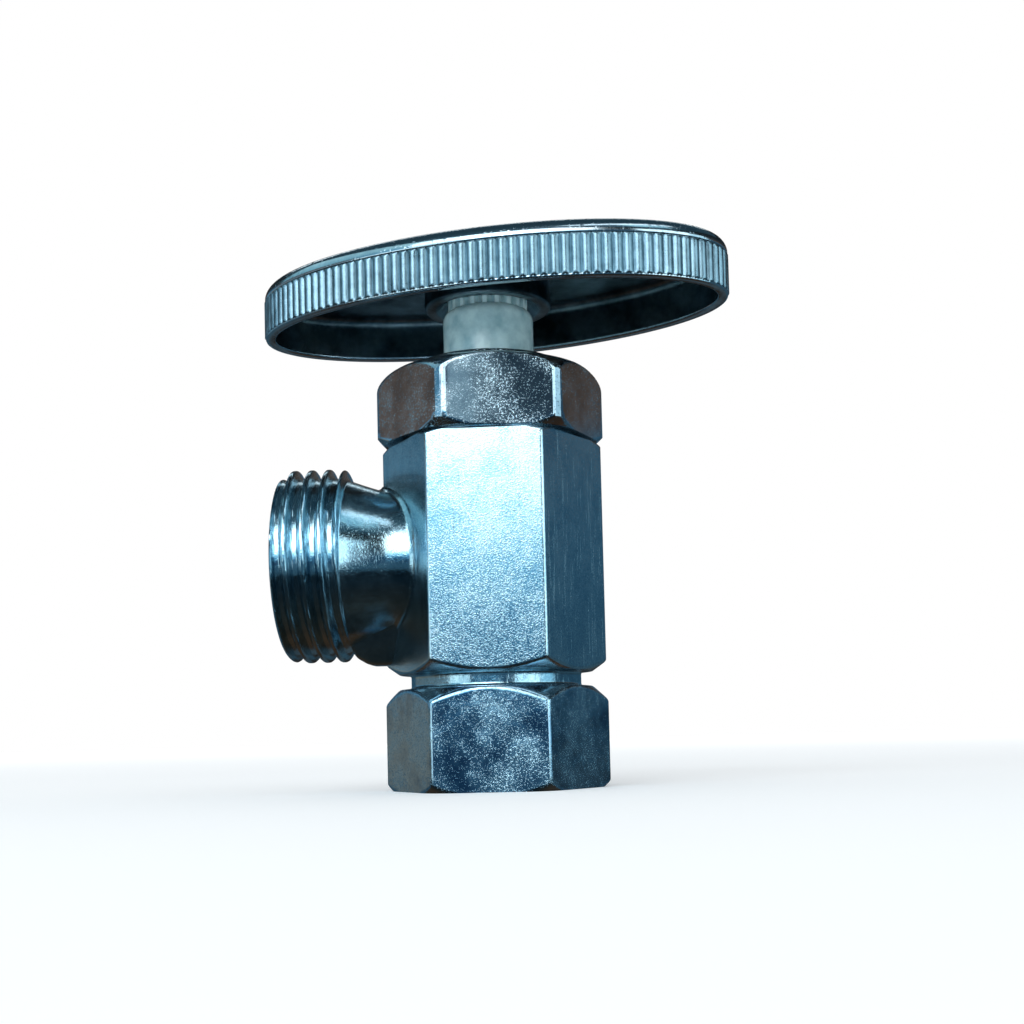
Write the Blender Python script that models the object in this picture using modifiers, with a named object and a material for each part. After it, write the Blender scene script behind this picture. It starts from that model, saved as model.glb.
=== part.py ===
# Angle stop valve: a hexagonal brass body with a threaded inlet below and a male-threaded outlet
# at the side, a screwed plastic stem with its packing and seat washer, and an oval handle.
# The valve's axis is Z, the inlet face is at Z = 0, and the outlet points along -X.

import math

import bmesh
import bpy
from mathutils import Matrix, Vector

MM = 0.001

# Clearances
SEAT_GAP = 0.3 * MM            # between pieces that touch each other
RUNNING_GAP = 0.3 * MM         # round a piece that turns or slides
THREAD_GAP = 0.15 * MM         # between the stem's thread and its bore
OVERCUT = 2.0 * MM             # how far a cutter reaches past the face that it cuts
FORM_MARGIN = 0.1 * MM         # how far a thread's end form stands outside its crests

# Body
INLET_HEX_FLATS = 20.64 * MM
INLET_HEX_TOP = 9.08 * MM
INLET_BASE_RADIUS = 11.15 * MM  # where the lower edge's chamfer meets the inlet face
INLET_BASE_CHAMFER = 0.85 * MM
GROOVE_RADIUS = 9.0 * MM
GROOVE_BOTTOM = 10.6 * MM
GROOVE_TOP = 12.2 * MM
BODY_HEX_FLATS = 20.36 * MM
BODY_HEX_BOTTOM = 13.2 * MM
BODY_HEX_TOP = 36.4 * MM
BODY_TOP_CHAMFER = 0.5 * MM
BODY_TOP_CHAMFER_DROP = 0.35 * MM
HEX_SHOULDER_RADIUS = 10.25 * MM
SPIGOT_RADIUS = 9.15 * MM
SPIGOT_TOP = 42.3 * MM
SPIGOT_CHAMFER = 0.5 * MM
CHAMBER_RADIUS = 6.7 * MM
CHAMBER_TOP = 30.2 * MM
SEAT_TOP = 17.2 * MM
SEAT_LIP_HEIGHT = 0.7 * MM
SEAT_LIP_WIDTH = 1.0 * MM
SEAT_FLOOR = 14.2 * MM
SEAT_BORE_RADIUS = 3.6 * MM
STEP_TOP = 37.9 * MM           # the step that carries the packing washer
PACKING_BORE_RADIUS = 7.2 * MM

# Inlet pipe thread, female
INLET_CREST_RADIUS = 7.55 * MM
INLET_ROOT_RADIUS = 8.45 * MM
INLET_PITCH = 1.411 * MM
INLET_THREAD_DEPTH = 9.4 * MM
INLET_BORE_RADIUS = 6.9 * MM
INLET_MOUTH_RADIUS = 8.85 * MM
INLET_RUN_OUT = 0.6 * MM        # slope from the thread's end to the plain bore
TAP_TAPER = 1.2 * MM            # length over which the thread's end dies away
INLET_STEPS = 20

# Outlet, male thread
OUTLET_HEIGHT = 24.17 * MM
OUTLET_REACH = 22.1 * MM
OUTLET_CREST_RADIUS = 10.35 * MM
OUTLET_ROOT_RADIUS = 9.35 * MM
OUTLET_PITCH = 1.814 * MM
OUTLET_THREAD_START = 14.9 * MM
OUTLET_END_RADIUS = 9.3 * MM
OUTLET_END_CHAMFER = 1.15 * MM
OUTLET_BORE_RADIUS = 6.0 * MM
OUTLET_CONE_RADIUS = 7.9 * MM
OUTLET_CONE_DEPTH = 2.2 * MM
OUTLET_NECK_RADIUS = 8.35 * MM
OUTLET_NECK_INNER_RADIUS = 7.4 * MM
OUTLET_NECK_STRAIGHT = 0.3 * MM  # the plain length between the neck's cone and the thread
OUTLET_SHOULDER = 0.4 * MM      # how far the thread's first shoulder stands out of the neck
OUTLET_SHOULDER_SLOPE = 0.6 * MM
OUTLET_STEPS = 32
WEB_WIDTH = 7.0 * MM
WEB_REACH = 15.4 * MM
WEB_FOOT_REACH = 13.5 * MM
WEB_RISE = 5.0 * MM
WEB_LIFT = 0.15 * MM            # keeps the web's foot off the hexagon's lower edge
WEB_SLOPE = ((0.6 * MM, 1.0 * MM), (0.0, 2.4 * MM))
WEB_ROUNDING = 1.2 * MM

# Stem and its screw thread
STEM_RADIUS = 4.83 * MM
STEM_THREAD_CREST = 5.9 * MM
STEM_THREAD_ROOT = 5.15 * MM
STEM_LEAD = 1.5875 * MM
STEM_THREAD_BOTTOM = 28.6 * MM
STEM_THREAD_TOP = 37.1 * MM
STEM_FOOT_RADIUS = 4.4 * MM
STEM_STEPS = 24
STEM_FOOT_CHAMFER = 0.4 * MM
SHOULDER_STEPS = 5
SHOULDER_LAP = 0.25 * MM       # how far the shoulder runs inside the splines' roots
SPLINE_SINK = 0.3 * MM         # how far the splines start below the shoulder's top
TURNS_FROM_CLOSED = 2.5        # the pose modelled here is 2.5 turns open
SPLINE_CREST = 4.25 * MM
SPLINE_ROOT = 3.65 * MM
SPLINE_COUNT = 20
SPLINE_GAP = 0.25 * MM
SPLINE_BOTTOM = 51.1 * MM
SPLINE_LENGTH = 3.9 * MM

# Packing
PACKING_WASHER_THICKNESS = 0.9 * MM
PACKING_THICKNESS = 2.7 * MM
FRICTION_RING_THICKNESS = 0.9 * MM
HARD_RING_EDGE = 0.15 * MM
PACKING_EDGE = 0.4 * MM

# Packing nut
NUT_HEX_FLATS = 21.36 * MM
NUT_TURN = math.radians(8.8)   # how far the nut ends up turned from the body's flats
NUT_HEX_TOP = 42.96 * MM
NUT_TOP = 45.15 * MM
NUT_LIP_RADIUS = 7.6 * MM
NUT_LIP_ROUNDING = 0.4 * MM
NUT_LIP_DRAFT = 0.2 * MM
NUT_LIP_HEIGHT = 1.2 * MM      # of the lip's foot, above the hexagon's top
NUT_SHOULDER = ((1.7 * MM, 0.9 * MM), (0.6 * MM, 0.3 * MM), (0, -0.6 * MM))
NUT_EDGE_CHAMFER = 0.6 * MM
NUT_CORNER_CUT = 0.15 * MM     # taken off each corner all the way up
NUT_HOLE_CHAMFER = 0.5 * MM
NUT_HOLLOW_CHAMFER = 0.6 * MM

# Swivel washer
SEAT_WASHER_RADIUS = 4.9 * MM
SEAT_WASHER_THICKNESS = 2.4 * MM
SEAT_WASHER_EDGE = 0.4 * MM
HOLDER_RADIUS = 5.6 * MM
HOLDER_THICKNESS = 1.13 * MM
HOLDER_EDGE = 0.4 * MM
HOLDER_LIP = 1.3 * MM
HOLDER_STUD_RADIUS = 1.7 * MM
HOLDER_STUD_LENGTH = 4.5 * MM
HOLDER_BARB = 0.25 * MM
BARB_TOP_DROP = 0.9 * MM        # from the stud's end to where the barb is widest
BARB_WIDTH = 0.3 * MM
BARB_LENGTH = 1.5 * MM          # from the stud's end to where it is plain again
SOCKET_SLOPE = 0.3 * MM

# Handle
HANDLE_HALF_LENGTH = 26.0 * MM
HANDLE_HALF_WIDTH = 13.18 * MM
HANDLE_TURN = math.radians(-15.1)
HANDLE_RIM_BOTTOM = 49.97 * MM
HANDLE_RIM_HEIGHT = 6.2 * MM
HANDLE_CROWN = 0.9 * MM        # rise of the top from the rim to the boss
HANDLE_WALL = 1.25 * MM
HANDLE_ROOF = 1.5 * MM
KNURL_BOTTOM = 0.45 * MM
KNURL_TOP = 4.35 * MM
KNURL_DEPTH = 0.22 * MM
KNURL_COUNT = 121
KNURL_UNDERCUT = 0.08 * MM      # how far the plain core stands below the knurl's roots
RIM_INSET = 0.2 * MM
RIM_EDGE_INSET = 0.45 * MM
KNURL_SHOULDER_INSET = 0.15 * MM
# Insets and drops of the rounding from the knurl's top to the handle's top
HANDLE_ROUNDING = ((0.2 * MM, 1.45 * MM), (0.5 * MM, 0.75 * MM), (1.1 * MM, 0.25 * MM), (2.0 * MM, 0.0))
CROWN_MIDDLE = (0.6, 0.66, 0.7)  # shares of the half length, the half width and the crown
HOLLOW_FLARE = 0.3 * MM
HOLLOW_ROUNDING = ((0.0, 0.9 * MM), (0.3 * MM, 0.3 * MM), (0.9 * MM, 0.0))
HUB_FILLET = 0.5 * MM
HUB_FILLET_DROP = 0.6 * MM
HUB_EDGE = 0.2 * MM
HUB_RADIUS = 6.76 * MM
HUB_BOTTOM = 1.28 * MM         # above the rim's bottom
HUB_CONE_RADIUS = 5.5 * MM
BOSS_RADIUS = 5.2 * MM
HANDLE_STEPS = 56

# Handle screw
SCREW_RADIUS = 2.05 * MM
SCREW_HEAD_RADIUS = 3.6 * MM
SCREW_HEAD_HEIGHT = 1.9 * MM
SCREW_LENGTH = 9.0 * MM
SCREW_POINT_LENGTH = 0.8 * MM
SCREW_POINT_TAPER = 0.7 * MM
SCREW_HEAD_STEPS = 5
SCREW_HEAD_EDGE = 0.25         # share of the head's height that is straight
SCREW_SLOT_WIDTH = 0.8 * MM
SCREW_SLOT_DEPTH = 1.0 * MM
SCREW_SLOT_LENGTH = 3.8 * MM

TURNED_STEPS = 36
FACET_TWIST = math.radians(2)    # keeps the edges of two crossing shapes off each other


def corner_radius(flats):
    # From a hexagon's axis to its corners.
    return flats / math.sqrt(3)


def clear_scene():
    for item in list(bpy.data.objects):
        bpy.data.objects.remove(item, do_unlink=True)


def make_collection(name):
    group = bpy.data.collections.new(name)
    bpy.context.scene.collection.children.link(group)
    return group


def make_material(name, colour, roughness, metallic):
    material = bpy.data.materials.new(name)
    material.use_nodes = True
    shader = material.node_tree.nodes["Principled BSDF"]
    shader.inputs["Base Color"].default_value = (*colour, 1.0)
    shader.inputs["Roughness"].default_value = roughness
    shader.inputs["Metallic"].default_value = metallic
    material.diffuse_color = (*colour, 1.0)
    return material


def add_object(name, mesh, group):
    item = bpy.data.objects.new(name, mesh)
    group.objects.link(item)
    return item


def hide_cutter(item):
    item.hide_render = True
    item.display_type = "WIRE"


def cut(target, cutter, operation="DIFFERENCE"):
    hide_cutter(cutter)
    modifier = target.modifiers.new(cutter.name, "BOOLEAN")
    modifier.object = cutter
    modifier.operation = operation
    modifier.solver = "EXACT"


def join(target, piece):
    cut(target, piece, "UNION")


def turned(name, profile, group, steps=TURNED_STEPS, ring=False):
    # profile is (radius, height) from top to bottom down the outer side; a ring's profile closes
    # on itself, a solid's starts and ends on the axis.
    mesh = bpy.data.meshes.new(name)
    points = [(radius, 0.0, height) for radius, height in profile]
    edges = [(index, index + 1) for index in range(len(points) - 1)]
    if ring:
        edges.append((len(points) - 1, 0))
    mesh.from_pydata(points, edges, [])
    item = add_object(name, mesh, group)
    screw = item.modifiers.new("turn", "SCREW")
    screw.steps = steps
    screw.render_steps = steps
    screw.use_merge_vertices = True
    screw.merge_threshold = 1e-6
    screw.use_smooth_shade = True
    return item


def plain_bar(name, radius, bottom, top, group, steps=TURNED_STEPS):
    return turned(name, [(0, top), (radius, top), (radius, bottom), (0, bottom)], group, steps)


def hex_prism(name, flats, bottom, top, turn, group):
    # With no turn two corners lie on the X axis and two flats face along Y.
    mesh = bpy.data.meshes.new(name)
    shape = bmesh.new()
    bmesh.ops.create_cone(shape, cap_ends=True, segments=6, radius1=corner_radius(flats),
                          radius2=corner_radius(flats), depth=top - bottom)
    bmesh.ops.rotate(shape, verts=shape.verts, matrix=Matrix.Rotation(math.pi / 2 + turn, 3, "Z"))
    bmesh.ops.translate(shape, verts=shape.verts, vec=(0, 0, (bottom + top) / 2))
    shape.to_mesh(mesh)
    shape.free()
    return add_object(name, mesh, group)


def box(name, low, high, group):
    mesh = bpy.data.meshes.new(name)
    shape = bmesh.new()
    bmesh.ops.create_cube(shape, size=1.0)
    size = Vector(high) - Vector(low)
    bmesh.ops.scale(shape, verts=shape.verts, vec=size)
    bmesh.ops.translate(shape, verts=shape.verts, vec=(Vector(low) + Vector(high)) / 2)
    shape.to_mesh(mesh)
    shape.free()
    return add_object(name, mesh, group)


def thread_bar(name, crest, root, pitch, bottom, top, group, steps):
    # A right-hand threaded bar. Each turn has four edges: the root's two and the crest's two.
    flat = 0.2 * pitch
    half_crest = flat / 2
    half_gap = pitch / 2 - flat / 2
    section = [(root, -half_gap), (crest, -half_crest), (crest, half_crest), (root, half_gap)]
    turns = math.ceil((top - bottom) / pitch) + 2
    start = bottom - pitch
    shape = bmesh.new()
    columns = []
    for index in range(turns * steps + 1):
        angle = 2 * math.pi * (index + 0.5) / steps
        height = start + pitch * index / steps
        columns.append([shape.verts.new((radius * math.cos(angle), radius * math.sin(angle),
                                         height + offset)) for radius, offset in section])
    for here, there in zip(columns, columns[1:]):
        for low in range(3):
            shape.faces.new((here[low], there[low], there[low + 1], here[low + 1]))
    for index in range((turns - 1) * steps):
        here, there = columns[index], columns[index + 1]
        above, beyond = columns[index + steps], columns[index + steps + 1]
        shape.faces.new((here[3], there[3], beyond[0], above[0]))
    last = len(columns) - 1
    floor = shape.verts.new((0, 0, columns[0][0].co.z - pitch))
    roof = shape.verts.new((0, 0, columns[last][3].co.z + pitch))
    for index in range(steps):
        shape.faces.new((floor, columns[index + 1][0], columns[index][0]))
        shape.faces.new((roof, columns[last - index - 1][3], columns[last - index][3]))
    first_end = [columns[0][0], columns[0][1], columns[0][2], columns[0][3], columns[steps][0]]
    last_end = [columns[last][3], columns[last][2], columns[last][1], columns[last][0],
                columns[last - steps][3]]
    for low, high in zip(first_end, first_end[1:]):
        shape.faces.new((floor, low, high))
    for high, low in zip(last_end, last_end[1:]):
        shape.faces.new((roof, high, low))
    bmesh.ops.recalc_face_normals(shape, faces=shape.faces)
    mesh = bpy.data.meshes.new(name)
    shape.to_mesh(mesh)
    shape.free()
    return add_object(name, mesh, group)


def splined_bar(name, crest, root, count, bottom, top, group):
    # A prism whose outline steps between crest and root, with sloping flanks.
    outline = []
    for tooth in range(count):
        for share, radius in ((0.0, root), (0.25, crest), (0.5, crest), (0.75, root)):
            angle = 2 * math.pi * (tooth + share) / count + FACET_TWIST
            outline.append((radius * math.cos(angle), radius * math.sin(angle)))
    shape = bmesh.new()
    low = [shape.verts.new((x, y, bottom)) for x, y in outline]
    face = shape.faces.new(low)
    raised = bmesh.ops.extrude_face_region(shape, geom=[face])
    moved = [item for item in raised["geom"] if isinstance(item, bmesh.types.BMVert)]
    bmesh.ops.translate(shape, verts=moved, vec=(0, 0, top - bottom))
    bmesh.ops.recalc_face_normals(shape, faces=shape.faces)
    mesh = bpy.data.meshes.new(name)
    shape.to_mesh(mesh)
    shape.free()
    return add_object(name, mesh, group)


def oval_outline(half_length, half_width, count):
    # Points at equal steps along an ellipse's edge.
    fine = 4096
    lengths = [0.0]
    before = Vector((half_length, 0.0))
    for index in range(1, fine + 1):
        angle = 2 * math.pi * index / fine
        here = Vector((half_length * math.cos(angle), half_width * math.sin(angle)))
        lengths.append(lengths[-1] + (here - before).length)
        before = here
    points = []
    step = 0
    for index in range(count):
        wanted = lengths[-1] * index / count
        while lengths[step + 1] < wanted:
            step += 1
        share = (wanted - lengths[step]) / (lengths[step + 1] - lengths[step])
        angle = 2 * math.pi * (step + share) / fine
        points.append((half_length * math.cos(angle), half_width * math.sin(angle)))
    return points


def oval_loft(name, rings, count, group, closed):
    # Each ring is (half length, half width, height, dip), and a dip draws every second point in.
    # A closed loft joins its last ring to its first; an open one is capped at both ends.
    shape = bmesh.new()
    loops = []
    for half_length, half_width, height, dip in rings:
        outline = oval_outline(half_length, half_width, count)
        dipped = oval_outline(half_length - dip, half_width - dip, count)
        chosen = [dipped[index] if index % 2 else outline[index] for index in range(count)]
        loops.append([shape.verts.new((x, y, height)) for x, y in chosen])
    pairs = list(zip(loops, loops[1:]))
    if closed:
        pairs.append((loops[-1], loops[0]))
    for low, high in pairs:
        for index in range(count):
            after = (index + 1) % count
            shape.faces.new((low[index], low[after], high[after], high[index]))
    if not closed:
        shape.faces.new(list(reversed(loops[0])))
        shape.faces.new(loops[-1])
    bmesh.ops.recalc_face_normals(shape, faces=shape.faces)
    mesh = bpy.data.meshes.new(name)
    shape.to_mesh(mesh)
    shape.free()
    return add_object(name, mesh, group)


def lay_along_outlet(item, twist=0.0):
    # Turns a piece made on the Z axis so that its +Z runs along -X at the outlet's height.
    turn = Matrix.Rotation(-math.pi / 2, 4, "Y") @ Matrix.Rotation(twist, 4, "Z")
    item.matrix_world = Matrix.Translation((0, 0, OUTLET_HEIGHT)) @ turn


def finish(item, material, angle=35):
    # Applies the modifiers, then shades the round faces smooth.
    graph = bpy.context.evaluated_depsgraph_get()
    mesh = bpy.data.meshes.new_from_object(item.evaluated_get(graph))
    item.modifiers.clear()
    item.data = mesh
    mesh.materials.clear()
    mesh.materials.append(material)
    mesh.shade_smooth()
    mesh.set_sharp_from_angle(angle=math.radians(angle))


def make_body(group, cutters):
    # Two hexagonal bars, turned down between them and above to the groove and the nut's spigot.
    corner = corner_radius(BODY_HEX_FLATS)
    inlet_corner = corner_radius(INLET_HEX_FLATS)
    groove_middle = (GROOVE_BOTTOM + GROOVE_TOP) / 2
    body = hex_prism("valve_body", INLET_HEX_FLATS, -OVERCUT, groove_middle + FORM_MARGIN, 0, group)
    upper = hex_prism("upper_hex", BODY_HEX_FLATS, groove_middle - FORM_MARGIN,
                      SPIGOT_TOP + OVERCUT, 0, cutters)
    join(body, upper)
    form = [(0, SPIGOT_TOP), (SPIGOT_RADIUS - SPIGOT_CHAMFER, SPIGOT_TOP),
            (SPIGOT_RADIUS, SPIGOT_TOP - SPIGOT_CHAMFER), (SPIGOT_RADIUS, BODY_HEX_TOP),
            (corner - BODY_TOP_CHAMFER, BODY_HEX_TOP),
            (corner + FORM_MARGIN, BODY_HEX_TOP - BODY_TOP_CHAMFER_DROP),
            (corner + FORM_MARGIN, BODY_HEX_BOTTOM + FORM_MARGIN),
            (HEX_SHOULDER_RADIUS, GROOVE_TOP), (GROOVE_RADIUS, GROOVE_TOP),
            (GROOVE_RADIUS, GROOVE_BOTTOM), (HEX_SHOULDER_RADIUS, GROOVE_BOTTOM),
            (inlet_corner + FORM_MARGIN, INLET_HEX_TOP - FORM_MARGIN),
            (inlet_corner + FORM_MARGIN, INLET_BASE_CHAMFER), (INLET_BASE_RADIUS, 0), (0, 0)]
    cut(body, turned("body_form", form, cutters), "INTERSECT")
    join(body, make_outlet(cutters))
    join(body, make_web(cutters))
    bore_body(body, cutters)
    return body


def make_outlet(cutters):
    outlet = thread_bar("outlet_thread", OUTLET_CREST_RADIUS, OUTLET_ROOT_RADIUS, OUTLET_PITCH,
                        OUTLET_THREAD_START, OUTLET_REACH, cutters, OUTLET_STEPS)
    outside = OUTLET_CREST_RADIUS + FORM_MARGIN
    envelope = [(0, OUTLET_REACH), (OUTLET_END_RADIUS, OUTLET_REACH),
                (outside, OUTLET_REACH - OUTLET_END_CHAMFER),
                (outside, OUTLET_THREAD_START + OUTLET_SHOULDER_SLOPE),
                (OUTLET_NECK_RADIUS + OUTLET_SHOULDER, OUTLET_THREAD_START),
                (0, OUTLET_THREAD_START)]
    cut(outlet, turned("outlet_form", envelope, cutters), "INTERSECT")
    lay_along_outlet(outlet)
    neck_end = OUTLET_THREAD_START + OUTLET_PITCH
    neck = [(0, neck_end), (OUTLET_NECK_RADIUS, neck_end),
            (OUTLET_NECK_RADIUS, OUTLET_THREAD_START - OUTLET_NECK_STRAIGHT),
            (OUTLET_NECK_INNER_RADIUS, BODY_HEX_FLATS / 2), (OUTLET_NECK_INNER_RADIUS, 0), (0, 0)]
    neck_bar = turned("outlet_neck", neck, cutters)
    join(outlet, neck_bar)
    lay_along_outlet(neck_bar, FACET_TWIST)
    lay_along_outlet(bpy.data.objects["outlet_form"])
    return outlet


def make_web(cutters):
    # A wedge between the underside of the neck and the lower edge of the body's hexagon.
    shape = bmesh.new()
    foot = BODY_HEX_BOTTOM + WEB_LIFT
    inner = -BODY_HEX_FLATS / 3
    outline = [(inner, foot), (-WEB_FOOT_REACH, foot)]
    outline += [(inset - WEB_REACH, foot + rise) for inset, rise in WEB_SLOPE]
    outline += [(-WEB_REACH, foot + WEB_RISE), (inner, foot + WEB_RISE)]
    side = [shape.verts.new((x, -WEB_WIDTH / 2, z)) for x, z in outline]
    face = shape.faces.new(side)
    raised = bmesh.ops.extrude_face_region(shape, geom=[face])
    moved = [item for item in raised["geom"] if isinstance(item, bmesh.types.BMVert)]
    bmesh.ops.translate(shape, verts=moved, vec=(0, WEB_WIDTH, 0))
    bmesh.ops.recalc_face_normals(shape, faces=shape.faces)
    mesh = bpy.data.meshes.new("neck_web")
    shape.to_mesh(mesh)
    shape.free()
    web = add_object("neck_web", mesh, cutters)
    rounding = web.modifiers.new("rounding", "BEVEL")
    rounding.width = WEB_ROUNDING
    rounding.segments = 3
    rounding.limit_method = "ANGLE"
    return web


def bore_body(body, cutters):
    lip_outer = SEAT_BORE_RADIUS + SEAT_LIP_WIDTH
    chamber = [(0, CHAMBER_TOP), (CHAMBER_RADIUS, CHAMBER_TOP),
               (CHAMBER_RADIUS, SEAT_TOP - SEAT_LIP_HEIGHT), (lip_outer, SEAT_TOP - SEAT_LIP_HEIGHT),
               (lip_outer, SEAT_TOP), (0, SEAT_TOP)]
    cut(body, turned("chamber", chamber, cutters))
    cut(body, plain_bar("seat_bore", SEAT_BORE_RADIUS, SEAT_FLOOR - OVERCUT, SEAT_TOP + OVERCUT,
                        cutters, 32))
    mouth_depth = INLET_MOUTH_RADIUS - INLET_CREST_RADIUS
    inlet = [(0, SEAT_FLOOR), (INLET_BORE_RADIUS, SEAT_FLOOR),
             (INLET_BORE_RADIUS, INLET_THREAD_DEPTH + INLET_RUN_OUT),
             (INLET_CREST_RADIUS, INLET_THREAD_DEPTH), (INLET_CREST_RADIUS, mouth_depth),
             (INLET_MOUTH_RADIUS + OVERCUT, -OVERCUT), (0, -OVERCUT)]
    cut(body, turned("inlet_bore", inlet, cutters))
    core = INLET_CREST_RADIUS - FORM_MARGIN
    tap = thread_bar("inlet_tap", INLET_ROOT_RADIUS, core, INLET_PITCH,
                     0, INLET_THREAD_DEPTH, cutters, INLET_STEPS)
    tap_top = INLET_THREAD_DEPTH - SEAT_GAP
    outside = INLET_ROOT_RADIUS + FORM_MARGIN
    tap_form = [(0, tap_top), (core - FORM_MARGIN, tap_top), (outside, tap_top - TAP_TAPER),
                (outside, -OVERCUT), (0, -OVERCUT)]
    cut(tap, turned("inlet_tap_form", tap_form, cutters), "INTERSECT")
    cut(body, tap)
    cone_slope = (OUTLET_CONE_RADIUS - OUTLET_BORE_RADIUS) / OUTLET_CONE_DEPTH
    outlet_bore = [(0, OUTLET_REACH + OVERCUT),
                   (OUTLET_CONE_RADIUS + cone_slope * OVERCUT, OUTLET_REACH + OVERCUT),
                   (OUTLET_BORE_RADIUS, OUTLET_REACH - OUTLET_CONE_DEPTH), (OUTLET_BORE_RADIUS, 0),
                   (0, 0)]
    bore = turned("outlet_bore", outlet_bore, cutters)
    lay_along_outlet(bore)
    cut(body, bore)
    # The stem's female thread is a plain bore, just clear of the stem's thread.
    thread_bore = STEM_THREAD_CREST + THREAD_GAP
    upper_bore = [(0, SPIGOT_TOP + OVERCUT), (PACKING_BORE_RADIUS, SPIGOT_TOP + OVERCUT),
                  (PACKING_BORE_RADIUS, STEP_TOP), (thread_bore, STEP_TOP),
                  (thread_bore, CHAMBER_TOP - OVERCUT), (0, CHAMBER_TOP - OVERCUT)]
    cut(body, turned("upper_bore", upper_bore, cutters))


def make_stem(group, cutters):
    stem = thread_bar("stem", STEM_THREAD_CREST, STEM_THREAD_ROOT, STEM_LEAD, STEM_THREAD_BOTTOM,
                      STEP_TOP, group, STEM_STEPS)
    chamfer = STEM_THREAD_CREST - STEM_THREAD_ROOT
    outside = STEM_THREAD_CREST + FORM_MARGIN
    inside = STEM_THREAD_ROOT - FORM_MARGIN
    form = [(0, STEM_THREAD_TOP), (inside, STEM_THREAD_TOP), (outside, STEM_THREAD_TOP - chamfer),
            (outside, STEM_THREAD_BOTTOM + chamfer), (inside, STEM_THREAD_BOTTOM),
            (0, STEM_THREAD_BOTTOM)]
    cut(stem, turned("stem_form", form, cutters), "INTERSECT")
    neck = SPLINE_ROOT - SHOULDER_LAP
    shoulder = STEM_RADIUS - neck
    shoulder_top = SPLINE_BOTTOM + FORM_MARGIN
    shank = [(0, shoulder_top)]
    for step in range(SHOULDER_STEPS + 1):
        angle = math.pi / 2 * step / SHOULDER_STEPS
        shank.append((neck + shoulder * math.sin(angle),
                      shoulder_top - shoulder * (1 - math.cos(angle))))
    shank += [(STEM_RADIUS, STEM_THREAD_TOP - OVERCUT), (0, STEM_THREAD_TOP - OVERCUT)]
    join(stem, turned("stem_shank", shank, cutters))
    bottom = stem_bottom()
    foot = [(0, STEM_THREAD_BOTTOM + OVERCUT), (STEM_FOOT_RADIUS, STEM_THREAD_BOTTOM + OVERCUT),
            (STEM_FOOT_RADIUS, bottom + STEM_FOOT_CHAMFER),
            (STEM_FOOT_RADIUS - STEM_FOOT_CHAMFER, bottom), (0, bottom)]
    join(stem, turned("stem_foot", foot, cutters))
    join(stem, splined_bar("stem_splines", SPLINE_CREST, SPLINE_ROOT, SPLINE_COUNT,
                           SPLINE_BOTTOM - SPLINE_SINK, SPLINE_BOTTOM + SPLINE_LENGTH, cutters))
    screw_hole = SCREW_RADIUS + RUNNING_GAP
    screw_depth = screw_seat_height() - SCREW_LENGTH - SEAT_GAP * 2
    cut(stem, plain_bar("stem_screw_hole", screw_hole, screw_depth,
                        SPLINE_BOTTOM + SPLINE_LENGTH + OVERCUT, cutters, 24))
    socket = HOLDER_STUD_RADIUS + RUNNING_GAP
    stud_top = bottom - SEAT_GAP + HOLDER_STUD_LENGTH
    wide_end = stud_top - BARB_LENGTH - SEAT_GAP
    hole = [(0, stud_top + SEAT_GAP), (socket + HOLDER_BARB, stud_top + SEAT_GAP),
            (socket + HOLDER_BARB, wide_end), (socket, wide_end - SOCKET_SLOPE),
            (socket, bottom - OVERCUT), (0, bottom - OVERCUT)]
    cut(stem, turned("stem_socket", hole, cutters, 24))
    return stem


def make_nut(group, cutters):
    corner = corner_radius(NUT_HEX_FLATS) - NUT_CORNER_CUT
    bottom = BODY_HEX_TOP + SEAT_GAP
    nut = hex_prism("packing_nut", NUT_HEX_FLATS, bottom, NUT_TOP, NUT_TURN, group)
    # The top: a low lip round the stem, then a shoulder that rounds off the hexagon.
    form = [(0, NUT_TOP), (NUT_LIP_RADIUS - NUT_LIP_ROUNDING, NUT_TOP),
            (NUT_LIP_RADIUS, NUT_TOP - NUT_LIP_ROUNDING)]
    form.append((NUT_LIP_RADIUS + NUT_LIP_DRAFT, NUT_HEX_TOP + NUT_LIP_HEIGHT))
    form += [(corner - inset, NUT_HEX_TOP + rise) for inset, rise in NUT_SHOULDER]
    form += [(corner, bottom + NUT_EDGE_CHAMFER), (corner - NUT_EDGE_CHAMFER, bottom), (0, bottom)]
    cut(nut, turned("nut_form", form, cutters), "INTERSECT")
    ceiling = friction_ring_top() + SEAT_GAP
    hollow = SPIGOT_RADIUS + RUNNING_GAP
    hollow_form = [(0, ceiling), (hollow - NUT_HOLLOW_CHAMFER, ceiling),
                   (hollow, ceiling - NUT_HOLLOW_CHAMFER), (hollow, bottom - OVERCUT),
                   (0, bottom - OVERCUT)]
    cut(nut, turned("nut_hollow", hollow_form, cutters))
    hole = STEM_RADIUS + RUNNING_GAP
    hole_form = [(0, NUT_TOP + OVERCUT), (hole + NUT_HOLE_CHAMFER + OVERCUT, NUT_TOP + OVERCUT),
                 (hole, NUT_TOP - NUT_HOLE_CHAMFER), (hole, ceiling - OVERCUT),
                 (0, ceiling - OVERCUT)]
    cut(nut, turned("nut_hole", hole_form, cutters))
    return nut


def seat_washer_bottom():
    # The washer in the pose modelled here stands a set number of turns above its seat.
    return SEAT_TOP + SEAT_GAP + TURNS_FROM_CLOSED * STEM_LEAD


def holder_bottom():
    return seat_washer_bottom() + SEAT_WASHER_THICKNESS + SEAT_GAP


def stem_bottom():
    return holder_bottom() + HOLDER_THICKNESS + SEAT_GAP


def packing_washer_top():
    return STEP_TOP + SEAT_GAP + PACKING_WASHER_THICKNESS


def packing_top():
    return packing_washer_top() + SEAT_GAP + PACKING_THICKNESS


def friction_ring_top():
    return packing_top() + SEAT_GAP + FRICTION_RING_THICKNESS


def screw_seat_height():
    return HANDLE_RIM_BOTTOM + HANDLE_RIM_HEIGHT + HANDLE_CROWN


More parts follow.
